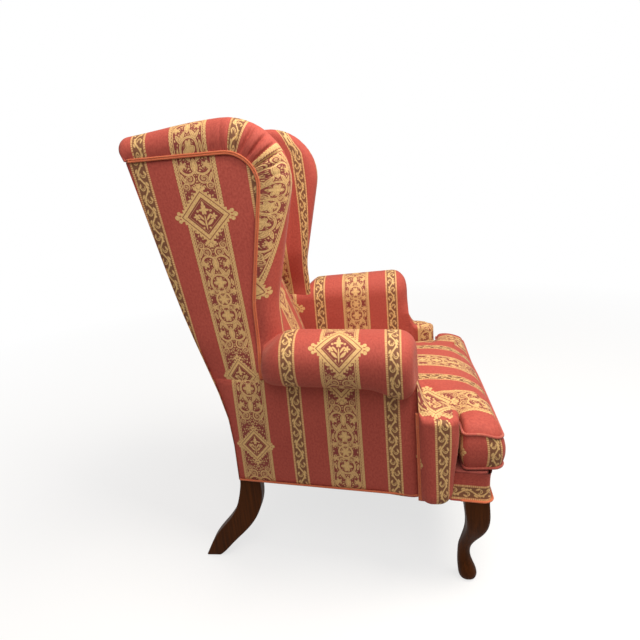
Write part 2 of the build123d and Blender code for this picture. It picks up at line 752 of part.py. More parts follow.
welt_lift = cord * math.sqrt(0.5)
top_welt = cushion_welt(top_seam + welt_lift, seam_inset - welt_lift)
bottom_welt = cushion_welt(low_seam, seam_inset - cord - welt_ease)

# Hand out the pieces by name
pieces = {
    "front_seat_rail": bore(front_seat_rail, dowel_axes),
    "rear_seat_rail": bore(rear_seat_rail, dowel_axes),
    "lower_back_rail": bore(lower_back_rail, dowel_axes),
    "crest_rail": bore(crest_rail, dowel_axes),
    "frame_dowels": frame_dowels,
    "foot_glides": Compound(children=glides),
    "seat_springs": seat_springs,
    "spring_clips": Compound(children=clips),
    "spring_hessian": spring_hessian,
    "back_webbing": Compound(children=strips),
    "dust_cover": dust_cover,
    "seat_deck": seat_deck,
    "front_border": front_border,
    "front_base_piping": front_piping,
    "inside_back": inside_back,
    "outside_back": outside_back,
    "cushion_filling": cushion_filling,
    "cushion_cover": cushion_cover,
    "cushion_top_welt": top_welt,
    "cushion_bottom_welt": bottom_welt,
}
pairs = {
    "rear_post": bore(rear_post(), left_axes),
    "side_seat_rail": bore(side_rail(), left_axes),
    "front_corner_block": corner_block(front_rail_rear_y, 1),
    "rear_corner_block": corner_block(rear_rail_y, -1),
    "arm_stump": bore(arm_stump(), left_axes),
    "arm_rail": bore(arm_rail(), left_axes),
    "wing_post": bore(wing_post(), left_axes),
    "wing_top_rail": bore(wing_top_rail(), left_axes),
    "front_leg": front_leg,
    "rear_leg": rear_leg,
    "wing": wing_pad,
    "arm": arm_pad,
    "front_roll": front_roll,
    "outside_wing": outside_wing,
    "outside_arm": outside_arm,
    "wing_piping": wing_piping,
    "arm_piping": arm_piping,
    "side_base_piping": side_piping,
}
for name, shape in pairs.items():
    left, right = both(shape)
    pieces[name + "_left"] = left
    pieces[name + "_right"] = right

for name, shape in pieces.items():
    export_step(shape, "parts/" + name + ".step")
print(len(pieces), "pieces")
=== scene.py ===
import json
import math
import bmesh
import bpy
from mathutils import Matrix, Vector, noise


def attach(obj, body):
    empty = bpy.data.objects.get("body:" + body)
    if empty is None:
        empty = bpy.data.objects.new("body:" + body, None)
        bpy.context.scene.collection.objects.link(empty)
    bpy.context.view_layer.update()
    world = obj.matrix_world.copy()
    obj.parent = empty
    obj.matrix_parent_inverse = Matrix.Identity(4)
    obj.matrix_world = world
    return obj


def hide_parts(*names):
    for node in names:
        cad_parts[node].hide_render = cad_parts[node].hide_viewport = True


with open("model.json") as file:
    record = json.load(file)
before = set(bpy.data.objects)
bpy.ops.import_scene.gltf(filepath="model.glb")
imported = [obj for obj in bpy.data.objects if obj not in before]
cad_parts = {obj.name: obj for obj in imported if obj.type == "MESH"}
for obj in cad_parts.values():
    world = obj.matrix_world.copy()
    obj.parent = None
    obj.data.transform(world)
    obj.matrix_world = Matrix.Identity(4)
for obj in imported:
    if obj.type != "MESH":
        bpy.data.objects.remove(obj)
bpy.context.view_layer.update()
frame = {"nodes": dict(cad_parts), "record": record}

# Shapes are written in millimetres in the frame of the solids: z = 0 is the floor,
# the chair faces -Y and +X is the sitter's left. Side pieces are drawn at +X.
mm = 0.001
nodes = frame["nodes"]
scene = bpy.context.scene
scene.view_settings.view_transform = "Standard"

# Sizes shared with the solids
rail_bottom = 230.0
seam_height = 504.0           # seam between outside wing and outside arm
wing_top = 1008.0
wing_front = 134.5            # front edge of the outside wing, low down
wing_knee = 685.0
wing_peak = 82.0              # where its front and top lines would meet
wing_bend = 250.0
wing_corner = 70.0
rear_low_y = 226.0
bend_z = 400.0
kick_z = 668.0
low_rake = math.radians(16.4)
high_rake = math.radians(11.9)
arm_front_x = 325.0
arm_front_y = -214.0
arm_turn = math.radians(9.0)
arm_inside = 62.0
deck_z = 292.3
deck_top = 304.1
cushion_z = 304.4
low_seam = cushion_z + 4.0
top_seam = low_seam + 82.0
seam_inset = 8.0
ear_front = -400.0
ear_half = 340.0
ear_rear = -300.6
back_foot = 92.0
half_back = 189.7

# Sizes of the covers
bend_ease = 70.0              # reach over which the bends of the rear line are eased
rear_lift = 0.8               # covers stand this far behind the solids' rear line
flare_low = 505.0             # the foot of the wing widens to the arm panel from
flare_high = 610.0            # here down to there
cover_top = 1007.0            # top edge of the outside wing and outside back

# Cloth: wide bands every repeat, narrow bands half way between them
repeat = 223.0
half_repeat = repeat / 2
motif = 370.0                 # lozenge to lozenge along a band


def smooth(low, high, x):
    """0 below low, 1 above high, eased between."""
    t = min(1.0, max(0.0, (x - low) / (high - low)))
    return t * t * (3 - 2 * t)


def mix(a, b, t):
    return a + (b - a) * t


def rear_y(z):
    """Rear line of the chair, its bends eased."""
    def line(h):
        if h < bend_z:
            return rear_low_y
        if h < kick_z:
            return rear_low_y + (h - bend_z) * math.tan(low_rake)
        return line(kick_z - 1e-6) + (h - kick_z) * math.tan(high_rake)
    return (line(z - bend_ease) + 2 * line(z) + line(z + bend_ease)) / 4 + rear_lift


def panel_x(y):
    return arm_front_x - math.tan(arm_turn) * (y - arm_front_y)


def inside_x(y, gap):
    return panel_x(y) - (arm_inside + gap) / math.cos(arm_turn)


def flare(z):
    """1 at the foot of the wing, 0 above its flare."""
    return smooth(flare_high, flare_low, z)


def arm_point(across, along, z):
    """From the arm's own axes to the chair's."""
    c, s = math.cos(arm_turn), math.sin(arm_turn)
    return Vector((arm_front_x + across * c - along * s, arm_front_y + across * s + along * c, z))


def rounded(points, radii, steps=14):
    """Line through 2-D points with its corners rounded."""
    out = [Vector(points[0])]
    for before, corner, after, radius in zip(points, points[1:], points[2:], radii):
        corner = Vector(corner)
        a = (Vector(before) - corner).normalized()
        b = (Vector(after) - corner).normalized()
        half = a.angle(b) / 2
        centre = corner + (a + b).normalized() * radius / math.sin(half)
        start = corner + a * radius / math.tan(half) - centre
        end = corner + b * radius / math.tan(half) - centre
        turn = start.angle(end)
        for i in range(steps + 1):
            t = i / steps
            swing = start * math.sin((1 - t) * turn) + end * math.sin(t * turn)
            out.append(centre + swing / math.sin(turn))
    out.append(Vector(points[-1]))
    return out


def runs(path):
    """Distance along a path at each of its points."""
    out = [0.0]
    for p, q in zip(path, path[1:]):
        out.append(out[-1] + (q - p).length)
    return out


def resample(path, count):
    """count + 1 points at even distances along a path."""
    run = runs(path)
    out = []
    k = 0
    for i in range(count + 1):
        s = run[-1] * i / count
        while k < len(run) - 2 and run[k + 1] < s:
            k += 1
        span = run[k + 1] - run[k]
        out.append(path[k].lerp(path[k + 1], (s - run[k]) / span if span else 0.0))
    return out


def mirrored(half):
    """Closed plan from its +X half, which starts and ends on X = 0."""
    return half + [Vector((-p.x, p.y)) for p in half[-2:0:-1]]


def direction(path, i):
    """Unit tangent of a path at one of its points."""
    return (path[min(len(path) - 1, i + 1)] - path[max(0, i - 1)]).normalized()


class Cover:
    """A mesh put together from grids that carry cloth coordinates in metres."""

    def __init__(self, name, side=1):
        self.name = name
        self.side = side
        self.bm = bmesh.new()
        self.uv = self.bm.loops.layers.uv.new("cloth")

    def point(self, p):
        return self.bm.verts.new((p[0] * mm * self.side, p[1] * mm, p[2] * mm))

    def grid(self, rows, uvs, wrap=False):
        points = [[self.point(p) for p in row] for row in rows]
        columns = len(rows[0])
        last = columns if wrap else columns - 1
        for i in range(len(rows) - 1):
            for j in range(last):
                k = (j + 1) % columns
                ring = [(i, j), (i + 1, j), (i + 1, k), (i, k)]
                face = self.bm.faces.new([points[a][b] for a, b in ring])
                for loop, (a, b) in zip(face.loops, ring):
                    u, v = uvs[a][b] if not (wrap and k == 0 and b == 0) else uvs[a][columns]
                    loop[self.uv].uv = (u * mm, v * mm)

    def weave(self, rows):
        """Grid from rows of (point, cloth) pairs."""
        rows = [list(row) for row in rows]
        self.grid([[p for p, _ in row] for row in rows], [[uv for _, uv in row] for row in rows])

    def finish(self, material, inside, merge=0.05):
        """Join the grids, turn faces away from a point inside, and make the object."""
        bmesh.ops.remove_doubles(self.bm, verts=self.bm.verts, dist=merge * mm)
        flat = [f for f in self.bm.faces if f.calc_area() < 1e-10]
        bmesh.ops.delete(self.bm, geom=flat, context="FACES_ONLY")
        centre = Vector((inside[0] * self.side, inside[1], inside[2])) * mm
        self.bm.normal_update()
        turned = sum(f.normal.dot(f.calc_center_median() - centre) * f.calc_area() for f in self.bm.faces)
        if turned < 0:
            bmesh.ops.reverse_faces(self.bm, faces=self.bm.faces)
        mesh = bpy.data.meshes.new(self.name)
        self.bm.to_mesh(mesh)
        self.bm.free()
        mesh.materials.append(material)
        mesh.polygons.foreach_set("use_smooth", [True] * len(mesh.polygons))
        piece = bpy.data.objects.new(self.name, mesh)
        scene.collection.objects.link(piece)
        return piece


def subdivide(piece, levels=1):
    modifier = piece.modifiers.new("Subdivision", "SUBSURF")
    modifier.levels = levels
    modifier.render_levels = levels


def place(piece, body, slot, *replaced):
    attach(piece, body)
    if replaced:
        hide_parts(*replaced)


# Shader arithmetic
class Wire:
    """A number in a node tree, with plain arithmetic."""

    def __init__(self, tree, socket):
        self.tree = tree
        self.socket = socket

    def do(self, operation, *others, clamp=False):
        node = self.tree.nodes.new("ShaderNodeMath")
        node.operation = operation
        node.use_clamp = clamp
        for slot, value in zip(node.inputs, (self,) + others):
            if isinstance(value, Wire):
                self.tree.links.new(value.socket, slot)
            else:
                slot.default_value = value
        return Wire(self.tree, node.outputs[0])

    def __add__(self, other):
        return self.do("ADD", other)

    def __sub__(self, other):
        return self.do("SUBTRACT", other)

    def __rsub__(self, other):
        return self.do("MULTIPLY_ADD", -1.0, other)

    def __mul__(self, other):
        return self.do("MULTIPLY", other)

    def abs(self):
        return self.do("ABSOLUTE")

    def max(self, other):
        return self.do("MAXIMUM", other)

    def min(self, other):
        return self.do("MINIMUM", other)

    def floor(self):
        return self.do("FLOOR")

    def wave(self, length):
        """Sine of a distance, one wave to a length."""
        return self.do("MULTIPLY_ADD", 2 * math.pi / length, 0.0).do("SINE")

    def folded(self, length):
        """Distance from the middle of the nearest cell of that length, -length/2 to length/2."""
        return (self + length / 2).do("FLOORED_MODULO", length) - length / 2

    def step(self, soft):
        """0 below zero, 1 above, over a soft edge."""
        return self.do("MULTIPLY_ADD", 1 / soft, 0.5, clamp=True)

    def reach(self, other):
        """Length of (self, other)."""
        return self.do("MULTIPLY", self).do("ADD", other.do("MULTIPLY", other)).do("SQRT")

    def angle(self, other):
        return self.do("ARCTAN2", other)


# Forms of the pattern: fields in millimetres, above zero inside the form
def disc(a, b, x, y, radius):
    return radius - (a - x).reach(b - y)


def ring(a, b, x, y, radius, half):
    return half - ((a - x).reach(b - y) - radius).abs()


def arch(a, b, x, y, radius, half, limit):
    """The part of a ring below a limit."""
    return ring(a, b, x, y, radius, half).min(limit - b)


def flower(a, b, x, y, radius, petals, depth):
    dx = a - x
    dy = b - y
    lobes = (dy.angle(dx) * petals).do("COSINE").do("MULTIPLY_ADD", radius * depth, radius)
    return lobes - dx.reach(dy)


def volute(a, b, x, y, radius, way):
    """A small scroll: one spiral arm in a disc."""
    dx = a - x
    dy = b - y
    r = dx.reach(dy)
    arm = (dy.angle(dx) * way + r * (2 * math.pi / (radius * 0.62))).do("COSINE").do("MULTIPLY_ADD", 2.0, 0.7)
    return arm.min(radius - r)


def leaf(a, b, x, y, long, wide, lean):
    """A pointed leaf along a leaning axis."""
    c, s = math.cos(lean), math.sin(lean)
    dx = a - x
    dy = b - y
    along = dx * s + dy * c
    across = dx * c - dy * s
    body = 1.0 - (along * (1 / long)).do("POWER", 2.0)
    return body * wide - across.abs()


def joined(forms, a, b, first=None):
    """Union of a list of forms, each with its place and sizes."""
    for form, *sizes in forms:
        field = form(a, b, *sizes)
        first = first.max(field) if first else field
    return first


band_forms = [
    (volute, 14.0, 78.0, 11.0, 1.0), (volute, 24.0, 63.0, 8.0, -1.0), (leaf, 27.0, 80.0, 11.0, 3.2, 0.3),
    (arch, 13.5, 102.0, 15.0, 2.2, 104.0), (flower, 22.5, 106.0, 6.6, 5.0, 0.36),
    (leaf, 0.0, 104.0, 17.0, 6.8, 0.0), (leaf, 11.5, 124.0, 13.5, 4.4, 0.5),
    (leaf, 20.5, 127.0, 12.0, 3.6, -0.5),
    (ring, 0.0, 148.0, 19.5, 2.4), (flower, 0.0, 147.0, 11.0, 5.0, 0.28), (volute, 13.0, 166.0, 9.0, -1.0),
    (flower, 25.5, 167.0, 6.4, 5.0, 0.36), (leaf, 26.5, 147.0, 9.0, 3.0, 0.2),
    (ring, 0.0, 185.0, 15.5, 2.0), (flower, 0.0, 185.0, 10.5, 6.0, 0.28),
]
lozenge_knobs = [
    (disc, 59.0, 0.0, 5.2), (disc, 54.0, 8.5, 4.0), (disc, 0.0, 63.0, 4.5), (disc, 8.0, 58.0, 3.6),
]
spray_forms = [
    (flower, 0.0, 13.0, 7.6, 5.0, 0.34), (flower, 17.0, -1.0, 5.4, 5.0, 0.36),
    (leaf, 9.5, -13.0, 10.0, 3.2, 0.8), (leaf, 0.0, -14.0, 17.0, 1.8, 0.0),
    (leaf, 7.5, -2.0, 9.0, 2.3, 0.6), (leaf, 0.0, 26.0, 5.5, 2.6, 0.0),
    (disc, 13.0, 11.0, 2.6), (disc, 6.5, -25.0, 2.2),
]
vine_forms = [
    (volute, 4.6, 0.0, 6.0, 1.0), (leaf, 8.0, 9.0, 5.6, 2.3, -0.5), (leaf, -8.8, 4.0, 6.0, 2.2, 0.4),
    (disc, -7.0, -7.0, 2.2),
]


def brocade_pattern():
    """Masks of the striped cloth: gold thread, wide ground, narrow ground."""
    tree = bpy.data.node_groups.new("brocade_pattern", "ShaderNodeTree")
    tree.interface.new_socket("Cloth", in_out="INPUT", socket_type="NodeSocketVector")
    for label in ("Gold", "Wide", "Narrow"):
        tree.interface.new_socket(label, in_out="OUTPUT", socket_type="NodeSocketFloat")
    start = tree.nodes.new("NodeGroupInput")
    end = tree.nodes.new("NodeGroupOutput")
    split = tree.nodes.new("ShaderNodeSeparateXYZ")
    tree.links.new(start.outputs[0], split.inputs[0])
    across = Wire(tree, split.outputs[0]) * 1000.0
    along = Wire(tree, split.outputs[1]) * 1000.0

    # Wide band: x from its middle, y from its lozenge; every other band half a motif on
    half_band, bead_line, bead_radius, bead_pitch = 41.0, 37.6, 3.7, 6.8
    thin_line, line_half = 32.2, 0.9
    x = across.folded(repeat)
    column = (across * (1 / repeat) + 0.5).floor()
    shifted = along + column * (motif / 2)
    y = shifted.folded(motif)
    small = (shifted * (1 / motif) + 0.5).floor().do("FLOORED_MODULO", 2.0)
    a = x.abs()
    b = y.abs()
    band = half_band - a
    beads = bead_radius - (a - bead_line).reach(y.folded(bead_pitch))
    line = line_half - (a - thin_line).abs()
    art = joined(band_forms, a, b, beads.max(line))
    # Small curls fill what the larger forms leave free
    curl_x = (a + b.wave(19.0) * 3.0).wave(11.5)
    curl_y = (b + a.wave(15.0) * 2.5).wave(9.5)
    curl = (curl_x * curl_y).do("MULTIPLY_ADD", 5.0, -1.6)
    art = art.max(curl.min((art + 2.2) * -1.0).min(29.5 - a))

    # Lozenge over the band, every second one smaller; m is the share of its reach
    rim, groove, inner_rim, heart_rim = 0.94, 0.8, 0.59, 0.545
    half_wide, half_tall, depth = 60.0, 64.0, 31.0
    grow = small * 0.3 + 1.0
    la = a * grow
    lb = b * grow
    m = la * (1 / half_wide) + lb * (1 / half_tall)
    crockets = (la - lb).wave(13.0) * 1.5
    lozenge = joined(lozenge_knobs, la, lb, (rim - m) * depth + crockets)
    frame_gap = 0.6 - ((m - groove) * depth).abs()
    inner_line = 1.0 - ((m - inner_rim) * depth).abs()
    spray = joined(spray_forms, la, y * grow)
    heart = ((heart_rim - m) * depth).step(0.6)
    frame_gold = 1.0 - frame_gap.step(0.6).max(inner_line.step(0.6))
    on_lozenge = lozenge.step(0.8)
    inside = heart * spray.step(0.8) + (1.0 - heart) * frame_gold

    in_band = band.step(0.8)
    engraved = 1.0 - (0.45 - (art - 2.4).abs()).step(0.5) * 0.6
    wide_gold = art.step(1.0) * in_band * engraved
    wide_gold = wide_gold * (1.0 - on_lozenge) + on_lozenge * inside

    # Narrow band: a vine with a curl in each bend, between dotted edges
    bend, sway, stem_half = 27.0, 6.2, 2.1
    half_core, edge_line, edge_half, dot_pitch = 12.2, 15.2, 2.2, 4.4
    n = (across + half_repeat).folded(repeat)
    stem = stem_half - (n - along.wave(2 * bend) * sway).abs()
    lobe = (along + bend / 2).folded(bend)
    turn = ((along + bend / 2) * (1 / bend)).floor().do("FLOORED_MODULO", 2.0).do("MULTIPLY_ADD", 2.0, -1.0)
    scroll = joined(vine_forms, n * turn, lobe, stem)
    edge = (edge_half - (n.abs() - edge_line).abs()).min(along.wave(dot_pitch) * 2.0 + 1.4)
    narrow_gold = scroll.min(half_core - n.abs()).max(edge).step(1.0)
    in_core = (half_core + 0.8 - n.abs()).step(0.8)

    masks = (wide_gold.max(narrow_gold), in_band.max(on_lozenge), in_core)
    for wire, socket in zip(masks, end.inputs):
        tree.links.new(wire.socket, socket)
    return tree


class Material:
    """A node material with short helpers."""

    def __init__(self, name):
        self.material = bpy.data.materials.new(name)
        self.material.use_nodes = True
        self.tree = self.material.node_tree
        self.shader = self.tree.nodes["Principled BSDF"]

    def add(self, kind, **settings):
        node = self.tree.nodes.new(kind)
        for key, value in settings.items():
            setattr(node, key, value)
        return node

    def link(self, a, b):
        self.tree.links.new(a, b)

    def shade(self, socket, value):
        """Drive one of the shader's sockets, from a wire or a node's socket."""
        self.link(value.socket if isinstance(value, Wire) else value, self.shader.inputs[socket])

    def fixed(self, **values):
        """Set the shader's own sockets, spaces written as underscores."""
        for key, value in values.items():
            self.shader.inputs[key.replace("_", " ")].default_value = value

    def noise(self, vector, scale, detail=2.0, roughness=0.5):
        node = self.add("ShaderNodeTexNoise")
        node.inputs["Scale"].default_value = scale
        node.inputs["Detail"].default_value = detail
        node.inputs["Roughness"].default_value = roughness
        self.link(vector, node.inputs["Vector"])
        return node.outputs["Fac"]

    def ramp(self, factor, stops):
        node = self.add("ShaderNodeValToRGB")
        ramp = node.color_ramp
        while len(ramp.elements) < len(stops):
            ramp.elements.new(0.5)
        for element, (at, colour) in zip(ramp.elements, stops):
            element.position = at
            element.color = (*colour, 1.0)
        self.link(factor, node.inputs[0])
        return node.outputs[0]

    def blend(self, factor, a, b):
        node = self.add("ShaderNodeMix", data_type="RGBA")
        for value, slot in ((factor, node.inputs[0]), (a, node.inputs[6]), (b, node.inputs[7])):
            if isinstance(value, bpy.types.NodeSocket):
                self.link(value, slot)
            elif isinstance(value, tuple):
                slot.default_value = (*value, 1.0)
            else:
                slot.default_value = value
        return node.outputs[2]

    def wire(self, socket):
        return Wire(self.tree, socket)

    def bump(self, height, strength, distance):
        node = self.add("ShaderNodeBump")
        node.inputs["Strength"].default_value = strength
        node.inputs["Distance"].default_value = distance
        self.link(height, node.inputs["Height"])
        self.link(node.outputs[0], self.shader.inputs["Normal"])

    def spread(self, vector, x, y, z):
        node = self.add("ShaderNodeVectorMath", operation="MULTIPLY")
        node.inputs[1].default_value = (x, y, z)
        self.link(vector, node.inputs[0])
        return node.outputs[0]

    def millimetres(self, vector):
        """First two parts of a vector in metres, as wires in millimetres."""
        split = self.add("ShaderNodeSeparateXYZ")
        self.link(vector, split.inputs[0])
        return self.wire(split.outputs[0]) * 1000.0, self.wire(split.outputs[1]) * 1000.0

    def coordinates(self):
        return self.add("ShaderNodeTexCoord").outputs["Object"]

    def cloth(self):
        return self.add("ShaderNodeUVMap", uv_map="cloth").outputs[0]


red = (0.46, 0.078, 0.055)
red_deep = (0.385, 0.058, 0.042)
red_thread = (0.58, 0.14, 0.098)
red_shade = (0.27, 0.036, 0.030)
maroon = (0.19, 0.038, 0.034)
maroon_light = (0.33, 0.075, 0.055)
olive = (0.16, 0.066, 0.033)
olive_light = (0.29, 0.125, 0.064)
gold_light = (0.80, 0.55, 0.24)
gold_dark = (0.53, 0.295, 0.105)
cord_worn = (0.62, 0.25, 0.13)


def brocade_material():
    m = Material("brocade")
    cloth = m.cloth()
    group = m.add("ShaderNodeGroup")
    group.node_tree = brocade_pattern()
    m.link(cloth, group.inputs[0])
    gold_mask, wide_mask, narrow_mask = group.outputs[:3]
    patch = m.noise(m.coordinates(), 9.0, 3.0)
    fine = m.noise(m.spread(cloth, 1.0, 0.25, 1.0), 900.0, 2.0)
    weft = m.wire(m.noise(m.spread(cloth, 0.12, 1.0, 1.0), 1400.0, 1.0))
    mottle = m.wire(m.noise(m.spread(cloth, 1.0, 0.6, 1.0), 260.0, 4.0, 0.65))
    field = m.ramp(patch, [(0.3, red_deep), (0.7, red)])
    field = m.blend(fine, field, m.blend(0.5, field, red_thread))
    specks = mottle.do("MULTIPLY_ADD", -3.2, 1.95, clamp=True)
    field = m.blend(specks.socket, field, m.blend(0.62, field, red_shade))
    thread = m.ramp(fine, [(0.32, gold_dark), (0.62, gold_light)])
    ground = m.blend(wide_mask, field, m.ramp(fine, [(0.3, maroon), (0.8, maroon_light)]))
    ground = m.blend(narrow_mask, ground, m.ramp(fine, [(0.3, olive), (0.8, olive_light)]))
    m.shade("Base Color", m.blend(gold_mask, ground, thread))
    gold = m.wire(gold_mask)
    m.shade("Roughness", gold.do("MULTIPLY_ADD", -0.2, 0.72) + (weft - 0.5) * 0.15)
    across, along = m.millimetres(cloth)
    height = gold * 0.6 + across.wave(1.3) * along.wave(1.1) * 0.25 + weft * 0.35
    m.bump(height.socket, 0.4, 0.0006)
    m.fixed(Sheen_Weight=0.14, Sheen_Roughness=0.4, Specular_IOR_Level=0.26)
    m.fixed(Sheen_Tint=(1.0, 0.58, 0.46, 1.0))
    return m.material


def cord_material(name, light, dark):
    """Cord covered in bias-cut cloth."""
    m = Material(name)
    across, along = m.millimetres(m.cloth())
    twill = (along + across * 0.8).wave(2.1)
    fray = m.wire(m.noise(m.coordinates(), 60.0, 3.0))
    fine = m.noise(m.coordinates(), 700.0, 2.0)
    shade = m.ramp(fine, [(0.3, dark), (0.7, light)])
    m.shade("Base Color", m.blend(fray.do("MULTIPLY_ADD", 2.2, -1.25, clamp=True).socket, shade, cord_worn))
    m.fixed(Roughness=0.72, Sheen_Weight=0.2, Specular_IOR_Level=0.3)
    m.bump((twill * 0.5 + m.wire(fine)).socket, 0.5, 0.0007)
    return m.material


def plain_cloth(name, light, dark, thread, rough=0.85):
    """Plain weave, its threads a given number of millimetres apart."""
    m = Material(name)
    at = m.coordinates()
    across, along = m.millimetres(at)
    weave = across.wave(thread) * along.wave(thread)
    slub = m.noise(m.spread(at, 1.0, 0.1, 1.0), 260.0, 3.0)
    tone = (weave * 0.18 + m.wire(slub)).socket
    m.shade("Base Color", m.ramp(tone, [(0.3, dark), (0.7, light)]))
    m.fixed(Roughness=rough, Sheen_Weight=0.1, Specular_IOR_Level=0.25)
    m.bump(tone, 0.4, 0.0006)
    return m.material


def wood(name, light, dark, rough):
    """Wood with its grain along z."""
    m = Material(name)
    at = m.coordinates()
    warp = m.noise(m.spread(at, 5.0, 5.0, 1.2), 3.0, 3.0)
    grain = m.wire(m.noise(m.spread(at, 60.0, 60.0, 3.0), 2.4, 6.0, 0.62))
    pores = m.noise(m.spread(at, 420.0, 420.0, 14.0), 1.0, 2.0)
    tone = (grain * 0.7 + m.wire(warp) * 0.3).socket
    middle = tuple(0.5 * (p + q) for p, q in zip(light, dark))
    colour = m.ramp(tone, [(0.32, dark), (0.52, middle), (0.7, light)])
    pore = m.wire(pores).do("MULTIPLY_ADD", -5.0, 2.4, clamp=True)
    m.shade("Base Color", m.blend((pore * 0.45).socket, colour, tuple(0.35 * p for p in dark)))
    m.shade("Roughness", grain * 0.18 + (rough - 0.09))
    m.fixed(Specular_IOR_Level=0.14, Specular_Tint=(1.0, 0.62, 0.38, 1.0))
    m.bump((grain * 0.4 - pore * 0.6).socket, 0.18, 0.0006)
    return m.material


def steel():
    m = Material("spring_steel")
    at = m.coordinates()
    draw = m.noise(m.spread(at, 300.0, 300.0, 300.0), 1.0, 3.0)
    spots = m.noise(at, 90.0, 4.0)
    dull, bright, rusty = (0.30, 0.29, 0.28), (0.42, 0.42, 0.43), (0.33, 0.22, 0.15)
    m.shade("Base Color", m.ramp(spots, [(0.35, dull), (0.62, bright), (0.8, rusty)]))
    m.shade("Roughness", m.wire(draw) * 0.3 + 0.25)
    m.fixed(Metallic=0.9)
    m.bump(draw, 0.15, 0.0003)
    return m.material


def plastic():
    m = Material("glide")
    scuff = m.noise(m.coordinates(), 240.0, 4.0)
    m.shade("Base Color", m.ramp(scuff, [(0.3, (0.035, 0.03, 0.028)), (0.75, (0.10, 0.09, 0.08))]))
    m.shade("Roughness", m.wire(scuff) * 0.3 + 0.4)
    m.bump(scuff, 0.2, 0.0004)
    return m.material


brocade = brocade_material()
orange_cord = cord_material("piping", (0.72, 0.19, 0.075), (0.52, 0.11, 0.045))
red_cord = cord_material("cushion_welt", (0.52, 0.11, 0.075), (0.38, 0.065, 0.05))
# Deck cloth in a darker red than the cover: partly its own plain cloth, partly painted shade for the gap
# under the cushion
deck_cloth = plain_cloth("deck_cloth", (0.36, 0.085, 0.065), (0.24, 0.05, 0.04), 1.6)
dust_cloth = plain_cloth("dust_cloth", (0.05, 0.05, 0.05), (0.02, 0.02, 0.02), 1.4)
jute = plain_cloth("jute", (0.55, 0.41, 0.24), (0.30, 0.20, 0.10), 3.0, 0.95)
filling_cloth = plain_cloth("filling", (0.82, 0.77, 0.64), (0.62, 0.55, 0.42), 1.2)
leg_wood = wood("polished_wood", (0.095, 0.026, 0.006), (0.026, 0.007, 0.002), 0.52)
frame_wood = wood("frame_wood", (0.66, 0.47, 0.28), (0.42, 0.27, 0.14), 0.62)


# Panels
def pillow(s, t, rise, sink, sharp=6):
    """Height of a padded panel: sunk round its edge and swelling to the middle."""
    edge = max(abs(2 * s - 1), abs(2 * t - 1)) ** sharp
    dome = (1 - (2 * s - 1) ** 2) * (1 - (2 * t - 1) ** 2)
    return rise * dome ** 0.6 - sink * edge ** 2


def ripple(p, scale, size):
    """Slight unevenness of hand-worked padding."""
    return size * noise.noise(Vector(p) * scale)


def upholster(cover, inside, node):
    """Make a piece in brocade that stands for a node of the chair."""
    piece = cover.finish(brocade, inside)
    subdivide(piece)
    place(piece, "chair", "brocade", node)
    return piece


def wing_seam(low, rear, count):
    """Seam round the outside wing as (y, z): up its front from a height, then back along its top."""
    corners = [(wing_front, low), (wing_front, wing_knee), (wing_peak, wing_top), (rear, wing_top)]
    return resample(rounded(corners, [wing_bend, wing_corner]), count)


# Outer edge of the wing's padding and of the roll along the top, arched a little
wing_foot_z = 506.0
roof_rear = 403.0
roof_arch = 7.0
wing_edge_points = [(77, wing_foot_z), (84, wing_knee), (-6, 1085), (roof_rear, 1056), (384, cover_top)]
wing_edge_line = [
    Vector((p.x, p.y + roof_arch * math.sin(math.pi * smooth(20, roof_rear, p.x)) * smooth(1030, 1045, p.y)))
    for p in resample(rounded(wing_edge_points, [220, 128, 22]), 520)]
wing_seam_line = wing_seam(508, 372, 500)

# Front of the inside back, foot to top and over the roll
back_head = 268.0
back_points = [(back_foot, 306), (98, 450), (166, 650), (back_head, 1068), (397, 1050), (383, 1006)]
back_line = rounded(back_points, [220, 900, 46, 18])


def back_y(z):
    """Front of the inside back at a height, below its top roll."""
    for p, q in zip(back_line, back_line[1:]):
        if p.y <= z <= q.y:
            return mix(p.x, q.x, (z - p.y) / (q.y - p.y))
    return back_head


def outside_wing(side, word):
    cover = Cover("outside_wing_cover_" + word, side)
    tall, wide = 72, 30
    low, face_x = 500.0, 254.5
    lozenge_z = 882.0
    front = wing_seam(low, 330, 600)

    def row(i):
        t = i / tall
        z = mix(low, cover_top, 1 - (1 - t) ** 1.25)
        front_y = min((abs(p.y - z), p.x) for p in front)[1]
        # The stripes fan out upwards from a wide one that leans back
        lane = mix(98.5, 121.5, (z - low) / (wing_top - low))
        stripe_y = 185 + (z - 518) * 0.0915
        for j in range(wide + 1):
            s = j / wide
            y = mix(front_y - 3.0, rear_y(z) + 1.0, s)
            x = mix(face_x, panel_x(y) - 0.5, flare(z)) + pillow(s, t, 5.0, 2.2)
            ahead = stripe_y - y
            u = ahead * half_repeat / (lane * (1.1 if ahead > 0 else 1.0))
            yield (x + ripple((y, z, 0), 0.012, 0.8), y, z), (u, z - lozenge_z)

    cover.weave(map(row, range(tall + 1)))
    upholster(cover, (150, 220, 750), "outside_wing_" + word)


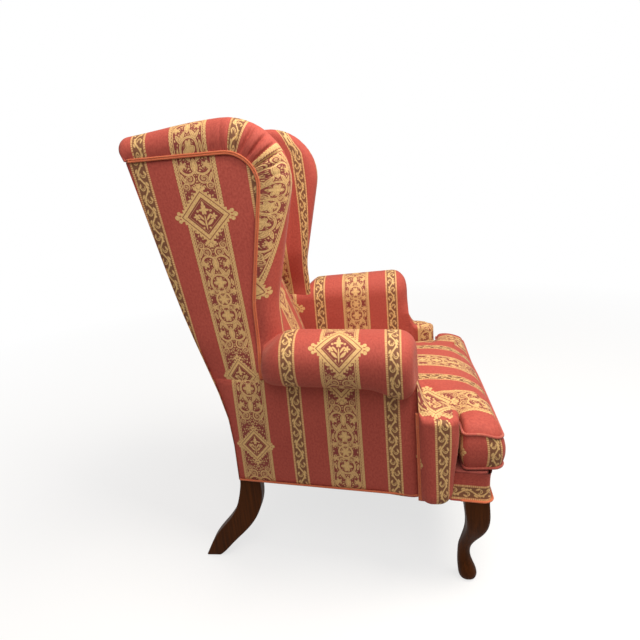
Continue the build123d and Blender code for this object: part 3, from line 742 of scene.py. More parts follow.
def wing(side, word):
    """Wing and its end of the top roll, from each point of its edge out to the seam and in to the back."""
    cover = Cover("wing_cover_" + word, side)
    count = 340
    edge = resample(wing_edge_line, count)
    run = runs(edge)
    places = range(len(wing_seam_line))
    nearest = [min(places, key=lambda k: (wing_seam_line[k] - p).length_squared) for p in edge]
    eased = []
    for i in range(count + 1):
        near = [nearest[min(count, max(0, i + k))] for k in range(-14, 15)]
        eased.append(sum(near) / len(near))
    # The cloth of the front meets the cloth of the roof at the upper corner
    split = min(range(count + 1), key=lambda i: abs(edge[i].x - 22) + (500 if edge[i].y < 1000 else 0))
    outer_x, middle_x, inner_x = 257.0, 222.0, 189.0
    roof_turn = 262.0             # the roof runs in to the back as far as here, then under the top roll
    power = 2 / 3.0
    outer_steps, inner_steps, face_steps = 12, 9, 10
    front_v, inner_v, roof_v = 384.0, 905.0, 1010.0
    roof_lane, roof_stretch = 122.0, 1.01
    band_reach = 58.0             # cloth between the edge and the seam on the front

    def seam_point(k):
        low = min(len(wing_seam_line) - 2, int(k))
        return wing_seam_line[low].lerp(wing_seam_line[low + 1], k - low)

    def narrow_y(z):
        """Middle of the narrow stripe on the inside of the wing."""
        return 64 + 0.055 * (z - 770)

    def goal_point(i):
        """Where the inside of the wing ends: behind the inside back, or under the top roll."""
        y = edge[i].x
        if i <= split:
            z = mix(wing_foot_z, 1005, i / split)
        elif y < roof_turn and i < count - 26:
            z = mix(1005, 1048, (y - edge[split].x) / (roof_turn - edge[split].x))
        else:
            return Vector((min(max(284, y - 20), 360), mix(1046, 1004, smooth(roof_turn, 394, y))))
        return Vector((back_y(z) + 14, z))

    rows, front_uv, roof_uv = [], [], []
    for i in range(count + 1):
        e = edge[i]
        q = seam_point(eased[i])
        goal = goal_point(i)
        row, uv_a, uv_b = [], [], []
        away = (e - q).normalized()
        arc_total = (e - q).length + (outer_x - middle_x) * 0.55
        lane = narrow_y(e.y) - e.x
        roof_u = (roof_lane - e.x) * roof_stretch
        # Pleats fan round the corner from a dart where the two cloths meet
        fold_at = run[i] - run[split]
        window = math.exp(-((fold_at - 52) / 66) ** 2)
        dart = math.exp(-(fold_at / 4.5) ** 2)
        tuck = (0.5 + 0.5 * math.cos(2 * math.pi * (fold_at + 5 * math.sin(fold_at / 23)) / 25.0)) ** 4
        slip = mix(37, 29, smooth(690, 1000, e.y))
        foot = smooth(735, 600, e.y)
        outer = mix(outer_x, panel_x(q.x) + 2.5, flare(q.y))
        for k in range(outer_steps + 1):
            t = k / outer_steps
            turn = t * math.pi / 2
            a = math.sin(turn) ** power
            x = middle_x + (outer - middle_x) * math.cos(turn) ** power if k < outer_steps else middle_x
            x += 4.5 * math.sin(math.pi * a ** 0.8)
            fold = -(8.5 * window * tuck + 3.0 * dart) * smooth(0.0, 0.1, t) * (1 - smooth(0.35, 1.0, t))
            flat = q.lerp(e, a) + away * fold * math.sin(turn)
            row.append((x + fold * math.cos(turn), flat.x, flat.y))
            uv_a.append((half_repeat + lane + slip + (1 - t) * min(arc_total, band_reach), run[i] - front_v))
            uv_b.append((half_repeat + roof_u, e.y + (1 - t) * arc_total - roof_v))
        depth = min(54.0, 0.75 * (e - goal).length)
        inward = (goal - e).normalized()
        inner = mix(inner_x, inside_x(e.x + 20, 0) + 2, foot)
        for k in range(1, inner_steps + 1):
            turn = k / inner_steps * math.pi / 2
            w = depth * (1 - math.cos(turn) ** power) if k < inner_steps else depth
            flat = e + inward * w
            row.append((middle_x - (middle_x - inner) * math.sin(turn) ** power, flat.x, flat.y))
        for k in range(1, face_steps + 1):
            t = k / face_steps
            flat = (e + inward * depth).lerp(goal, t)
            row.append((inner - 5.0 * (1 - foot) * math.sin(math.pi * t * 0.9), flat.x, flat.y))
        for k in range(outer_steps + 1, len(row)):
            x, y, z = row[k]
            ease = smooth(outer_steps, outer_steps + inner_steps + 4, k)
            over_front = 1.0 if i <= split else smooth(60, 0, fold_at)
            extra = (middle_x - (x if k <= outer_steps + inner_steps else inner_x)) * 0.6
            planar = half_repeat + narrow_y(z) - y
            step = slip - extra * over_front
            uv_a.append((planar + step * (1 - ease), mix(run[i] - front_v, z - inner_v, ease)))
            step = mix(step, roof_u - lane, smooth(0, 70, fold_at))
            uv_b.append((planar + step * (1 - ease), mix(z - roof_v, z - inner_v, ease)))
        rows.append(row)
        front_uv.append(uv_a)
        roof_uv.append(uv_b)
    cover.grid(rows[:split + 1], front_uv[:split + 1])
    cover.grid(rows[split:], roof_uv[split:])
    upholster(cover, (222, 180, 850), "wing_" + word)


def inside_back():
    cover = Cover("inside_back_cover")
    path = resample(back_line, 120)
    run = runs(path)
    wide = 56
    side_depth, side_round, lozenge_v = 34.0, 26.0, 330.0

    def row(i):
        p = path[i]
        v = run[i] - lozenge_v
        along = direction(path, i)
        out = Vector((-along.y, along.x))
        swell = 8.0 + 24.0 * smooth(430, 520, p.y) * smooth(960, 700, p.y)
        swell *= smooth(400, 460, p.y)
        rounding = 14.0 * smooth(1045, 1000, p.y)
        half = mix(max(inside_x(p.x, 0) + 5, half_back + 8), half_back, smooth(820, 990, p.y))
        # Each side turns in between the arm or wing and the padding
        behind = p - out * side_depth
        yield (-half - 1, behind.x, behind.y), (-half - side_depth, v)
        for j in range(wide + 1):
            s = 2 * j / wide - 1
            x = half * math.copysign(1 - (1 - abs(s)) ** 1.15, s)
            near = 1 - min(1.0, (half - abs(x)) / side_round)
            drop = rounding * (1 - math.sqrt(max(0.0, 1 - near ** 2)))
            bulge = swell * (1 - abs(x / half) ** 2.2) - drop + ripple((x, p.y, 3), 0.01, 0.8)
            flat = p + out * bulge
            yield (x, flat.x, flat.y), (x, v)
        yield (half + 1, behind.x, behind.y), (half + side_depth, v)

    cover.weave(map(row, range(len(path))))
    upholster(cover, (0, 330, 700), "inside_back")


def arm(side, word):
    """Roll and inside face of an arm, drawn round a section and along the arm."""
    cover = Cover("arm_cover_" + word, side)
    low, top = seam_height - 0.3, seam_height + 119.7
    roll_out, roll_in, face_in = 76.0, -64.5, -61.5
    corners = [(-8, low), (roll_out, low), (roll_out, top), (roll_in, top), (roll_in, 552),
               (face_in, 440), (face_in, 300)]
    section = [Vector((-30, low + 1))] + rounded(corners, [59, 59, 60, 300, 300], steps=18)
    section = resample(section, 96)
    run = runs(section)
    core = Vector((6, 563))       # middle of the roll
    rear_core = Vector((0, 509))  # what its rear end draws in and slopes down to
    cap, rear_start, length = 38.0, 276.0, 342.0
    front_fall, rear_tuck, rear_return = 25.0, 58.0, 16.0
    stripe_y, stripe_edge, lozenge_v = -58.0, 157.0, 186.0
    # Rows by distance along the arm and share drawn in to the middle; the first ones close the front
    stations = [(1.6, 1.0), (1.2, 0.75), (0.9, 0.5), (0.5, 0.25)]
    stations += [(cap * (1 - math.cos(k / 12 * math.pi / 2)), 0.0) for k in range(13)]
    stations += [(mix(cap, rear_start, k / 30), 0.0) for k in range(1, 31)]
    stations += [(mix(rear_start, length, math.sin(k / 14 * math.pi / 2)), 0.0) for k in range(1, 15)]
    stations.append((length + 1, 0.0))

    def row(station):
        along, pull = station
        ahead = 0.0 if pull == 0 else cap
        if pull == 0 and along < cap:
            ahead = cap - math.sqrt(max(0.0, cap ** 2 - (cap - along) ** 2))
        share = min(1.0, max(0.0, (along - rear_start) / (length - rear_start)))
        drawn_in = 0.93 * (1 - math.sqrt(max(0.0, 1 - share ** 2)))
        lowered = 0.5 * share ** 1.25
        drop = front_fall * smooth(105, 10, along if pull == 0 else 0)
        for p, r in zip(section, run):
            part = r / run[-1]
            on_roll = smooth(490, 545, p.y) if p.x < 0 and r > run[-1] * 0.4 else 1.0
            outer = p + Vector((0, -drop * smooth(566, 504, p.y) * on_roll * smooth(-62, -20, p.x)))
            heart_z = mix(min(p.y, low - 0.85 * drop), core.y - drop * 0.4, on_roll)
            heart = Vector((mix(-30, core.x, on_roll), heart_z))
            away = outer - heart
            at = heart + away * (max(0.0, away.length - ahead * on_roll) / away.length * (1 - pull))
            outward = smooth(0.52, 0.3, part) * on_roll
            upward = smooth(0.57, 0.34, part) * on_roll
            at.x = mix(at.x, rear_core.x, drawn_in * outward)
            at.y = mix(at.y, rear_core.y, lowered * upward)
            behind = along + (1 - on_roll) * 3.0
            if along > length:
                at.x -= rear_return * outward
                behind += rear_tuck * smooth(0.47, 0.55, part)
            spot = arm_point(at.x, behind, at.y)
            spot.x += ripple((spot.x, spot.y, spot.z), 0.011, 1.2) * on_roll
            least = -stripe_edge if r < 0.45 * run[-1] else -400
            yield spot, (max(least, min(stripe_y - spot.y + 0.6 * ahead, stripe_edge)), r - lozenge_v)

    cover.weave(map(row, stations))
    upholster(cover, tuple(arm_point(6, 170, 500)), "arm_" + word)


def outside_arm(side, word):
    cover = Cover("outside_arm_cover_" + word, side)
    tall, long = 44, 64
    stripe_along, lozenge_z = 166.0, 520.0

    def row(i):
        t = i / tall
        z = mix(rail_bottom + 1, seam_height + 1.5, t)
        last = (rear_y(z) + 0.5 - arm_front_y) / math.cos(arm_turn)
        for j in range(long + 1):
            s = j / long
            along = mix(0.5, last, s)
            across = pillow(s, t, 3.2, 3.4, 10) + 6.0 * smooth(95, 25, along) * smooth(0, 14, along)
            at = arm_point(across + ripple((along, z, 5), 0.012, 0.7), along, z)
            yield at, (stripe_along - along, z - lozenge_z)

    cover.weave(map(row, range(tall + 1)))
    piece = upholster(cover, (0, 0, 380), "outside_arm_" + word)
    "side_seat_rail_" + word
    "arm_rail_" + word


def outside_back():
    cover = Cover("outside_back_cover")
    tall, wide = 90, 48
    upper_half, lozenge_v = 254.6, 250.0
    heights = [mix(rail_bottom + 1, cover_top, i / tall) for i in range(tall + 1)]
    climb = runs([Vector((rear_y(z), z)) for z in heights])

    def row(i):
        z = heights[i]
        half = mix(panel_x(rear_low_y) - 0.2, upper_half, smooth(420, 520, z))
        for j in range(wide + 1):
            s = j / wide
            x = mix(-half, half, s)
            y = rear_y(z) + 1.6 + pillow(s, i / tall, 4.0, 1.2, 12)
            yield (x, y, z), (x, climb[i] - lozenge_v)

    cover.weave(map(row, range(tall + 1)))
    piece = upholster(cover, (0, 0, 600), "outside_back")


def front_roll(side, word):
    """Upright roll in front of an arm, gathered at its top and hollowed up to the arm."""
    cover = Cover("front_roll_cover_" + word, side)
    inner, outer = 274.0, 366.5
    front, rear = -299.0, -214.5
    low, crest, shoulder = 227.0, 451.0, 13.0
    hollow_y, hollow_run, hollow_rise = -243.0, 28.0, 52.0
    stripe_y = -264.0             # a narrow stripe runs up the outer side here
    start_x = 300.0
    plan = rounded(
        [(start_x, rear), (outer, rear), (outer, front), (inner, front), (inner, rear), (start_x, rear)],
        [24, 34, 30, 4], steps=12)
    plan = resample(plan, 84)[:-1]
    run = runs(plan + [plan[0]])
    heart = Vector((312, -240))

    def top_height(x, y):
        hollow = max(0.0, min(1.0, (y - hollow_y) / hollow_run)) ** 1.9
        slope = -7 * smooth(-240, front, y) - 8 * smooth(318, outer, x)
        return crest + slope + hollow_rise * hollow * smooth(350, 322, x)

    def free(p):
        """0 against the arm, 1 where the roll is free."""
        return smooth(rear - 0.5, rear - 16, p.y) if p.x < 345 else smooth(rear + 6, rear - 8, p.y)

    def drawn_in(p, amount):
        way = heart - p
        return p + way.normalized() * min(amount, way.length * 0.9)

    stripe = min(zip(run, plan), key=lambda rp: abs(rp[1].y - stripe_y) + (0 if rp[1].x > 330 else 900))[0]
    wall, wall_uv = [], []
    tall = 40
    for i in range(tall + 1):
        row, uv = [], []
        for p, r in zip(plan, run):
            rim = top_height(p.x, p.y) - 2 * free(p)
            base = mix(rail_bottom + 2, low, free(p))
            z = mix(base, rim, 1 - (1 - i / tall) ** 1.6)
            bend = min(1.0, max(0.0, 1 - (rim - z) / shoulder))
            over = shoulder * (1 - math.sqrt(1 - bend ** 2))
            foot = 1 - math.sqrt(max(0.0, 1 - (1 - min(1.0, (z - base) / 30.0)) ** 2))
            taper = 15 * smooth(400, 250, z) * smooth(-250, front, p.y)
            pleat = 1.3 * smooth(46, 12, rim - z) * math.cos(r / 4.6) * free(p)
            at = drawn_in(p, (24 * foot + taper + over) * free(p) - pleat)
            row.append((at.x, at.y, z))
            uv.append((r - stripe + half_repeat, z - 330))
        uv.append((run[-1] - stripe + half_repeat, uv[0][1]))
        wall.append(row)
        wall_uv.append(uv)
    cover.grid(wall, wall_uv, wrap=True)

    def lid(last, levels):
        """Rows from the rim of the wall in to the heart."""
        rows = [last]
        for k in range(1, levels):
            turn = k / levels
            over = math.sin(min(1.0, turn / 0.35) * math.pi / 2)
            inward = 0.2 * over + 0.8 * max(0.0, turn - 0.12) / 0.88 * turn
            row = []
            for start in last:
                at = Vector(start[:2]).lerp(heart, inward)
                row.append((at.x, at.y, mix(start[2], top_height(at.x, at.y), over)))
            rows.append(row)
        rows.append([(heart.x, heart.y, top_height(heart.x, heart.y))] * len(last))
        return rows

    top = lid(wall[-1], 14)
    cover.grid(top, [[(p[0] - 306, p[1] - 120) for p in row + [row[0]]] for row in top], wrap=True)
    under = []
    for k in range(5, -1, -1):
        t = k / 5
        sink = 2 * math.sin(t * math.pi / 2)
        under.append([(mix(p[0], heart.x, t), mix(p[1], heart.y, t), p[2] - sink) for p in wall[0]])
    cover.grid(under, [[(p[0], p[1]) for p in row + [row[0]]] for row in under], wrap=True)
    upholster(cover, (320, -250, 340), "front_roll_" + word)


def front_border():
    cover = Cover("front_border_cover")
    rear, front = -276.0, -366.0
    tall, stripe_z = 14, 253.0
    rear_x, front_x = panel_x(rear), panel_x(front)
    corners = [(rear_x, rear), (front_x, front), (-front_x, front), (-rear_x, rear)]
    path = resample(rounded(corners, [15, 15]), 150)
    run = runs(path)

    def row(i):
        t = i / tall
        z = mix(rail_bottom + 1.5, deck_top - 1.5, t)
        swell = 2.4 * (1 - (2 * t - 1) ** 2) - 1.8 * abs(2 * t - 1) ** 8
        for k, p in enumerate(path):
            along = direction(path, k)
            flat = p + Vector((along.y, -along.x)) * swell
            yield (flat.x, flat.y, z), (half_repeat + z - stripe_z, run[k])

    cover.weave(map(row, range(tall + 1)))
    upholster(cover, (0, -200, 260), "front_border")


# Loose cushion
def cushion_loop(inset, count):
    """Closed T-shaped plan with even points; starts at the middle of the front, goes round by +X."""
    neck = ear_rear - inset
    rear = back_foot - 2 - inset
    points = [
        (0, ear_front + inset), (ear_half - inset, ear_front + inset), (ear_half - inset, neck),
        (inside_x(neck, 2) - inset, neck), (inside_x(rear, 2) - inset, rear), (0, rear)]
    radii = [max(31 - inset, 5), max(16 - inset, 4), 12 + inset, max(34 - inset, 5)]
    return mirrored(resample(rounded(points, radii, steps=10), count))


def front_drop(x, y, z):
    """How much lower the front of the cushion's top lies; it has sagged most towards the sitter's left."""
    sag = 13 + 9 * math.exp(-((x - 150) / 100) ** 2)
    return sag * smooth(-335, ear_front, y) * smooth(low_seam, top_seam, z)


def cushion_core(p):
    """Point of the flat middle that a point of the plan runs in to."""
    ear = smooth(262, 338, abs(p.x)) * smooth(-280, -300, p.y)
    return Vector((max(-190, min(190, p.x)), max(-360, min(-40, p.y - 42 * ear))))


def cushion_panel(loop, height):
    """Rows from a plan's rim to its middle; height gives z from the distance in and the place."""
    rows = []
    rim_rows, core_rows = 14, 9
    middle_half, middle_y = 30.0, -190.0
    for k in range(rim_rows + 1):
        row = []
        for p in loop:
            at = p.lerp(cushion_core(p), (k / rim_rows) ** 1.7)
            row.append((at.x, at.y, height((at - p).length, at)))
        rows.append(row)
    for k in range(1, core_rows + 1):
        f = k / core_rows
        row = []
        for p in loop:
            c = cushion_core(p)
            at = c.lerp(Vector((max(-middle_half, min(middle_half, c.x)), middle_y)), f)
            row.append((at.x, at.y, height(140 + 60 * f, at)))
        rows.append(row)
    rows.append([(0.0, p[1], p[2]) for p in rows[-1]])
    return rows


def cushion(name, inset, material, count):
    """Crowned closed cushion; inset shrinks it for the filling."""
    cover = Cover(name)
    lozenge_v, boxing_v = 60.0, 350.0

    def top_height(d, at):
        rise = 21 * (1 - math.exp(-d / 11)) + 15 * smooth(0, 170, d)
        uneven = 0.6 * noise.noise(Vector((at.x, at.y, 7)) * 0.02)
        return top_seam - inset + rise - front_drop(at.x, at.y, top_seam) + uneven

    def low_height(d, at):
        return cushion_z + inset + 3.6 * math.exp(-d / 6)

    rim = cushion_loop(seam_inset + inset, count)
    full = cushion_loop(inset, count)
    top = cushion_panel(rim, top_height)
    low = cushion_panel(rim, low_height)
    boxing = []
    levels = 9
    for k in range(levels + 1):
        t = k / levels
        z = mix(low[0][0][2], top_seam - inset, t)
        row = []
        for p, q in zip(rim, full):
            at = p.lerp(q, 1 - abs(2 * t - 1) ** 2.2)
            row.append((at.x, at.y, z - front_drop(p.x, p.y, z)))
        boxing.append(row)
    around = runs([Vector((p[0], p[1])) for p in boxing[levels // 2]])
    around.append(around[-1] + 8)
    total = around[-1]

    def strip(r):
        """Cloth round the boxing: in step with the top in front, then a stripe near each ear's front."""
        d = min(r, total - r)
        eased = d - 15 * smooth(225, 300, d)
        return eased if r < total / 2 else -eased

    def lane(x):
        """Cloth across the cushion, eased at the ears so that no narrow stripe falls on their edge."""
        return math.copysign(abs(x) - 0.32 * max(0.0, abs(x) - 250), x)

    def face(rows, turn):
        return [[(lane(p[0]), turn * p[1] - lozenge_v) for p in row + [row[0]]] for row in rows]

    def band(row):
        return [(strip(r), p[2] - boxing_v) for p, r in zip(row + [row[0]], around)]

    cover.grid(top, face(top, -1), wrap=True)
    cover.grid(low[::-1], face(low[::-1], 1), wrap=True)
    cover.grid(boxing, [band(row) for row in boxing], wrap=True)
    return cover.finish(material, (0, -180, 350))


def inflate(piece, pressure, limit, held, frames=20):
    """Swell a piece by cloth simulation, its points kept within a limit of where they were."""
    rest = [v.co.copy() for v in piece.data.vertices]
    group = piece.vertex_groups.new(name="held")
    for v in piece.data.vertices:
        weight = held(v.co / mm)
        if weight > 0:
            group.add([v.index], weight, "REPLACE")
    modifier = piece.modifiers.new("Cloth", "CLOTH")
    settings = modifier.settings
    settings.quality = 6
    settings.mass = 0.3
    settings.tension_stiffness = 20
    settings.compression_stiffness = 20
    settings.shear_stiffness = 8
    settings.bending_stiffness = 2
    settings.use_pressure = True
    settings.uniform_pressure_force = pressure
    settings.effector_weights.gravity = 0
    settings.vertex_group_mass = "held"
    modifier.point_cache.frame_start = 1
    modifier.point_cache.frame_end = frames
    for f in range(1, frames + 1):
        scene.frame_set(f)
    depsgraph = bpy.context.evaluated_depsgraph_get()
    moved = [v.co.copy() for v in piece.evaluated_get(depsgraph).data.vertices]
    piece.modifiers.remove(modifier)
    piece.vertex_groups.remove(group)
    for v, start, now in zip(piece.data.vertices, rest, moved):
        step = now - start
        far = step.length / mm
        if far > limit:
            step *= limit / far
        v.co = start + step
    scene.frame_set(1)


def cushion_held(p):
    """Weights for the swelling: still below and beside the arms and back, free on top and at the front."""
    if p.z < low_seam + 2:
        return 1.0
    if p.z < top_seam + 6 and p.y > ear_rear - 4:
        return 1.0
    rim = abs(p.z + front_drop(p.x, p.y, top_seam) - top_seam) < 2.5
    return 0.75 if rim else 0.0


# Cords
cord_radius = 2.3             # each strand of the double piping
cord_aside = 2.0
welt_radius = 3.3


def tube(cover, path, outs, offset_out, offset_side, radius, sides=8):
    """A round cord along 3-D points, beside them by two offsets."""
    run = runs(path)
    rows, uvs = [], []
    for i, p in enumerate(path):
        tangent = direction(path, i)
        out = (outs[i] - tangent * outs[i].dot(tangent)).normalized()
        aside = tangent.cross(out)
        centre = p + out * offset_out + aside * offset_side
        row = []
        for k in range(sides):
            turn = 2 * math.pi * k / sides
            row.append(centre + (out * math.cos(turn) + aside * math.sin(turn)) * radius)
        rows.append(row)
        uvs.append([(radius * 2 * math.pi * k / sides, run[i]) for k in range(sides + 1)])
    ends = [[sum(rows[end], Vector((0, 0, 0))) / sides] * sides for end in (0, -1)]
    end_uvs = [[uvs[end][0]] * (sides + 1) for end in (0, -1)]
    cover.grid([ends[0]] + rows + [ends[1]], [end_uvs[0]] + uvs + [end_uvs[1]], wrap=True)


def piping(name, side, path, outs, node, lift=0.0):
    """Double cord sewn along an edge."""
    cover = Cover(name, side)
    for aside in (-cord_aside, cord_aside):
        tube(cover, path, outs, lift, aside, cord_radius)
    piece = cover.finish(orange_cord, tuple(path[len(path) // 2]), merge=0.02)
    bm = bmesh.new()
    bm.from_mesh(piece.data)
    bmesh.ops.recalc_face_normals(bm, faces=bm.faces)
    bm.to_mesh(piece.data)
    bm.free()
    place(piece, "chair", "piping", node)


def welt(name, path, node):
    """Thin self-covered cord round the cushion."""
    cover = Cover(name)
    closed = path + [path[0]]
    outs = []
    for i in range(len(closed)):
        along = (path[(i + 1) % len(path)] - path[i % len(path) - 1]).normalized()
        outs.append(Vector((along.y, -along.x, 0)))
    tube(cover, closed, outs, 0.0, 0.0, welt_radius)
    piece = cover.finish(red_cord, (0, -180, closed[0].z), merge=0.02)
    place(piece, "seat_cushion", "piping", node)


def wing_cord(side, word):
    path = []
    for p in wing_seam(508, 372, 150):
        path.append(Vector((mix(258.0, panel_x(p.x) + 3.5, flare(p.y)), p.x, p.y)))
    piping("wing_piping_cord_" + word, side, path, [Vector((1, 0, 0))] * len(path), "wing_piping_" + word)


def arm_cord(side, word):
    path = []
    for k in range(56):
        z = mix(233, 446, k / 55)
        path.append(Vector((338.5, arm_front_y + 1.5 + 1.5 * noise.noise(Vector((0, 0, z * 0.02))), z)))
    outs = [Vector((0.95, 0.3, 0))] * len(path)
    piping("arm_piping_cord_" + word, side, path, outs, "arm_piping_" + word, lift=1.0)


def side_base_cord(side, word):
    path = [arm_point(1.5, mix(4, 443, k / 80), rail_bottom + 6.0) for k in range(81)]
    outs = [Vector((0.6, 0, -0.8))] * len(path)
    piping("side_base_cord_" + word, side, path, outs, "side_base_piping_" + word)


def front_base_cord():
    rear, front, corner_y = -300.0, -367.5, -366.0
    rear_x, corner_x = panel_x(rear) + 2, panel_x(corner_y) + 2
    plan = rounded([(rear_x, rear), (corner_x, front), (-corner_x, front), (-rear_x, rear)], [17, 17])
    path = [Vector((p.x, p.y, rail_bottom + 4.5)) for p in resample(plan, 190)]
    outs = [Vector((0.25 * p.x / ear_half, -0.5, -0.8)) for p in path]
    piping("front_base_cord", 1, path, outs, "front_base_piping")


def seat_cushion():
    seat = cushion("seat_cushion_cover", 0.0, brocade, 105)
    inflate(seat, 4.0, 14.0, cushion_held)
    subdivide(seat)
    place(seat, "seat_cushion", "brocade", "cushion_cover")
    filling = cushion("seat_cushion_filling", 9.0, filling_cloth, 80)
    place(filling, "seat_cushion", "filling", "cushion_filling")
    for label, z in (("cushion_top_welt", top_seam), ("cushion_bottom_welt", low_seam + 0.4)):
        loop = [Vector((p.x, p.y, z - front_drop(p.x, p.y, z))) for p in cushion_loop(seam_inset - 1.2, 150)]
        welt(label + "_cord", loop, label)


def seat_deck():
    """Thin padded deck under the cushion."""
    cover = Cover("seat_deck_cover")
    front, ear, rear = -361.0, -284.0, 91.7
    edge_round = 1.6
    points = [(0, front), (panel_x(front) - 5, front), (panel_x(ear) - 5, ear),
              (inside_x(ear, 0.3), ear), (inside_x(rear, 0.3), rear), (0, rear)]
    loop = mirrored(resample(rounded(points, [12, 3, 10, 8], steps=6), 90))

    def top_height(d, at):
        return deck_top - edge_round * math.exp(-d / 9)

    def low_height(d, at):
        return deck_z

    upper = cushion_panel(loop, top_height)
    under = cushion_panel(loop, low_height)
    rim = [[(p.x, p.y, mix(deck_z, deck_top - edge_round, k / 3)) for p in loop] for k in range(4)]
    for rows in (upper, under[::-1], rim):
        cover.grid(rows, [[(p[0], p[1]) for p in row + [row[0]]] for row in rows], wrap=True)
    piece = cover.finish(deck_cloth, (0, -150, 298))
    place(piece, "chair", "deck_cloth", "seat_deck")


def strip_sheet(name, strips, z, sag, material, slot, node):
    """Flat stretched cloth made of strips (y0, half0, y1, half1)."""
    cover = Cover(name)
    wide, row_gap, sag_half = 36, 16, 330.0
    for y0, half0, y1, half1 in strips:
        rows, uvs = [], []
        steps = max(2, int((y1 - y0) / row_gap))
        for i in range(steps + 1):
            y = mix(y0, y1, i / steps)
            half = mix(half0, half1, i / steps)
            row = []
            for j in range(wide + 1):
                x = mix(-half, half, j / wide)
                dip = sag * max(0.0, 1 - (x / sag_half) ** 2) * math.sin(math.pi * smooth(-360, 230, y))
                row.append((x, y, z - dip))
            rows.append(row)
            uvs.append([(p[0], p[1]) for p in row])
        cover.grid(rows, uvs)
    piece = cover.finish(material, (0, 0, 400))
    place(piece, "chair", slot, node)
    area = sum((y1 - y0) * (half0 + half1) for y0, half0, y1, half1 in strips) * mm * mm


# Build the upholstery
inside_back()
outside_back()
front_border()
for side, word in ((1, "left"), (-1, "right")):
    for make in (outside_wing, wing, arm, outside_arm, front_roll, wing_cord, arm_cord, side_base_cord):
        make(side, word)
front_base_cord()
seat_cushion()
seat_deck()
dust_strips = [(-353, 285.5, -306, 285.5), (-306, 330, 173, 246), (173, 211, 217, 211)]
strip_sheet("dust_cover_cloth", dust_strips, rail_bottom - 0.6, 2.5, dust_cloth, "dust_cloth", "dust_cover")
hessian_strips = [(-350, 250, 216, inside_x(216, 0.3) - 1)]
strip_sheet("spring_hessian_cloth", hessian_strips, deck_z - 0.5, 0.0, jute, "jute", "spring_hessian")

# Finishes on the nodes that stay
finishes = {
    "polished_wood": leg_wood, "frame_wood": frame_wood, "spring_steel": steel(), "jute": jute,
    "glide": plastic(),
}
for part in frame["record"]["subparts"]:
    node = nodes[part["node"]]
    finish = finishes.get(part["material_slot"])
    if finish and not node.hide_render:
        node.data.materials.clear()
        node.data.materials.append(finish)

# Stage: a floor that looks pale to the camera and throws little light back
floor_half = 14.0
corners = [(-floor_half, -floor_half, 0), (floor_half, -floor_half, 0), (floor_half, floor_half, 0),
           (-floor_half, floor_half, 0)]
floor_mesh = bpy.data.meshes.new("floor")
floor_mesh.from_pydata(corners, [], [(0, 1, 2, 3)])
floor = bpy.data.objects.new("floor", floor_mesh)
scene.collection.objects.link(floor)
pale = Material("floor")
pale.fixed(Roughness=0.9)
paths = pale.add("ShaderNodeLightPath")
pale.shade("Base Color", pale.blend(paths.outputs["Is Camera Ray"], (0.3, 0.28, 0.26), (0.9, 0.9, 0.9)))
away = pale.add("ShaderNodeVectorMath", operation="LENGTH")
pale.link(pale.coordinates(), away.inputs[0])
far = pale.wire(away.outputs["Value"]).do("MULTIPLY_ADD", 0.42, -0.25, clamp=True)
seen = pale.wire(paths.outputs["Is Camera Ray"]).max(pale.wire(paths.outputs["Is Glossy Ray"]))
seen = seen * (far * 0.3 + 0.7)
glow = pale.add("ShaderNodeEmission")
glow.inputs[1].default_value = 1.0
both = pale.add("ShaderNodeMixShader")
pale.link(seen.socket, both.inputs[0])
pale.link(pale.shader.outputs[0], both.inputs[1])
pale.link(glow.outputs[0], both.inputs[2])
pale.link(both.outputs[0], pale.tree.nodes["Material Output"].inputs["Surface"])
floor_mesh.materials.append(pale.material)

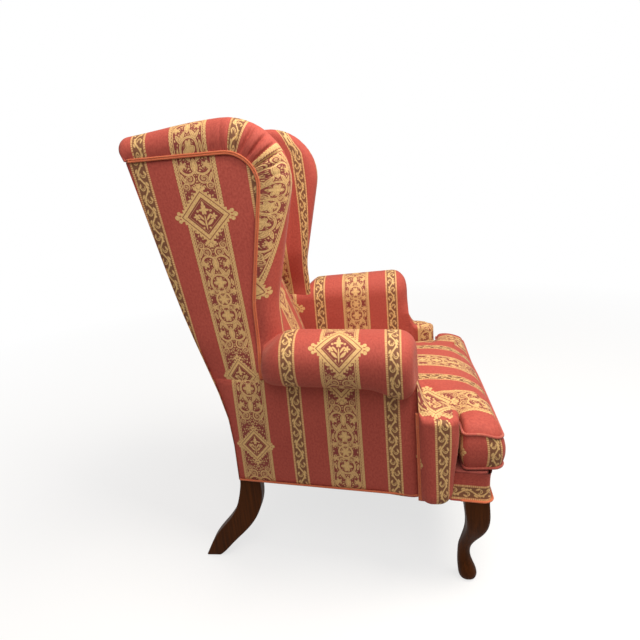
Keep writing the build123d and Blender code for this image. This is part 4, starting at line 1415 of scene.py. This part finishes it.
world = bpy.data.worlds.new("studio")
scene.world = world
world.use_nodes = True
tree = world.node_tree
light = tree.nodes["Background"]
light.inputs["Color"].default_value = (1.0, 0.97, 0.93, 1.0)
light.inputs["Strength"].default_value = 0.36
white = tree.nodes.new("ShaderNodeBackground")
white.inputs["Color"].default_value = (1.0, 1.0, 1.0, 1.0)
white.inputs["Strength"].default_value = 1.0
rays = tree.nodes.new("ShaderNodeLightPath")
pick = tree.nodes.new("ShaderNodeMixShader")
ray = Wire(tree, rays.outputs["Is Camera Ray"]).max(Wire(tree, rays.outputs["Is Transmission Ray"]))
tree.links.new(ray.socket, pick.inputs[0])
tree.links.new(light.outputs[0], pick.inputs[1])
tree.links.new(white.outputs[0], pick.inputs[2])
tree.links.new(pick.outputs[0], tree.nodes["World Output"].inputs["Surface"])


def lamp(name, at, aim, size, power, colour):
    data = bpy.data.lights.new(name, "AREA")
    data.size = size
    data.energy = power
    data.color = colour
    made = bpy.data.objects.new(name, data)
    made.location = at
    made.rotation_euler = (Vector(aim) - Vector(at)).to_track_quat("-Z", "Y").to_euler()
    scene.collection.objects.link(made)


lamp("key", (-0.4, -0.95, 2.6), (0.0, -0.1, 0.6), 1.3, 76.0, (1.0, 0.93, 0.84))
lamp("fill", (-1.7, -0.1, 2.1), (0.0, 0.1, 0.75), 1.2, 14.0, (1.0, 0.94, 0.9))
lamp("rear", (1.2, 2.4, 1.3), (0.0, 0.2, 0.5), 1.6, 9.0, (1.0, 0.95, 0.9))

# Camera, fitted to the photograph
eye = Vector((-1.3755, -0.1714, 0.9611))
yaw, pitch, roll = 0.1429, -0.2788, -0.0869
ahead = Vector((math.cos(pitch) * math.cos(yaw), math.cos(pitch) * math.sin(yaw), math.sin(pitch)))
level = ahead.cross(Vector((0, 0, 1))).normalized()
above = level.cross(ahead)
right = level * math.cos(roll) + above * math.sin(roll)
up = above * math.cos(roll) - level * math.sin(roll)
focal_pixels, picture_pixels = 530.57, 640.0
view = bpy.data.cameras.new("view")
view.sensor_width = 36.0
view.lens = focal_pixels / picture_pixels * view.sensor_width
camera = bpy.data.objects.new("view", view)
camera.matrix_world = Matrix((
    (right.x, up.x, -ahead.x, eye.x), (right.y, up.y, -ahead.y, eye.y), (right.z, up.z, -ahead.z, eye.z),
    (0, 0, 0, 1)))
scene.collection.objects.link(camera)
scene.camera = camera
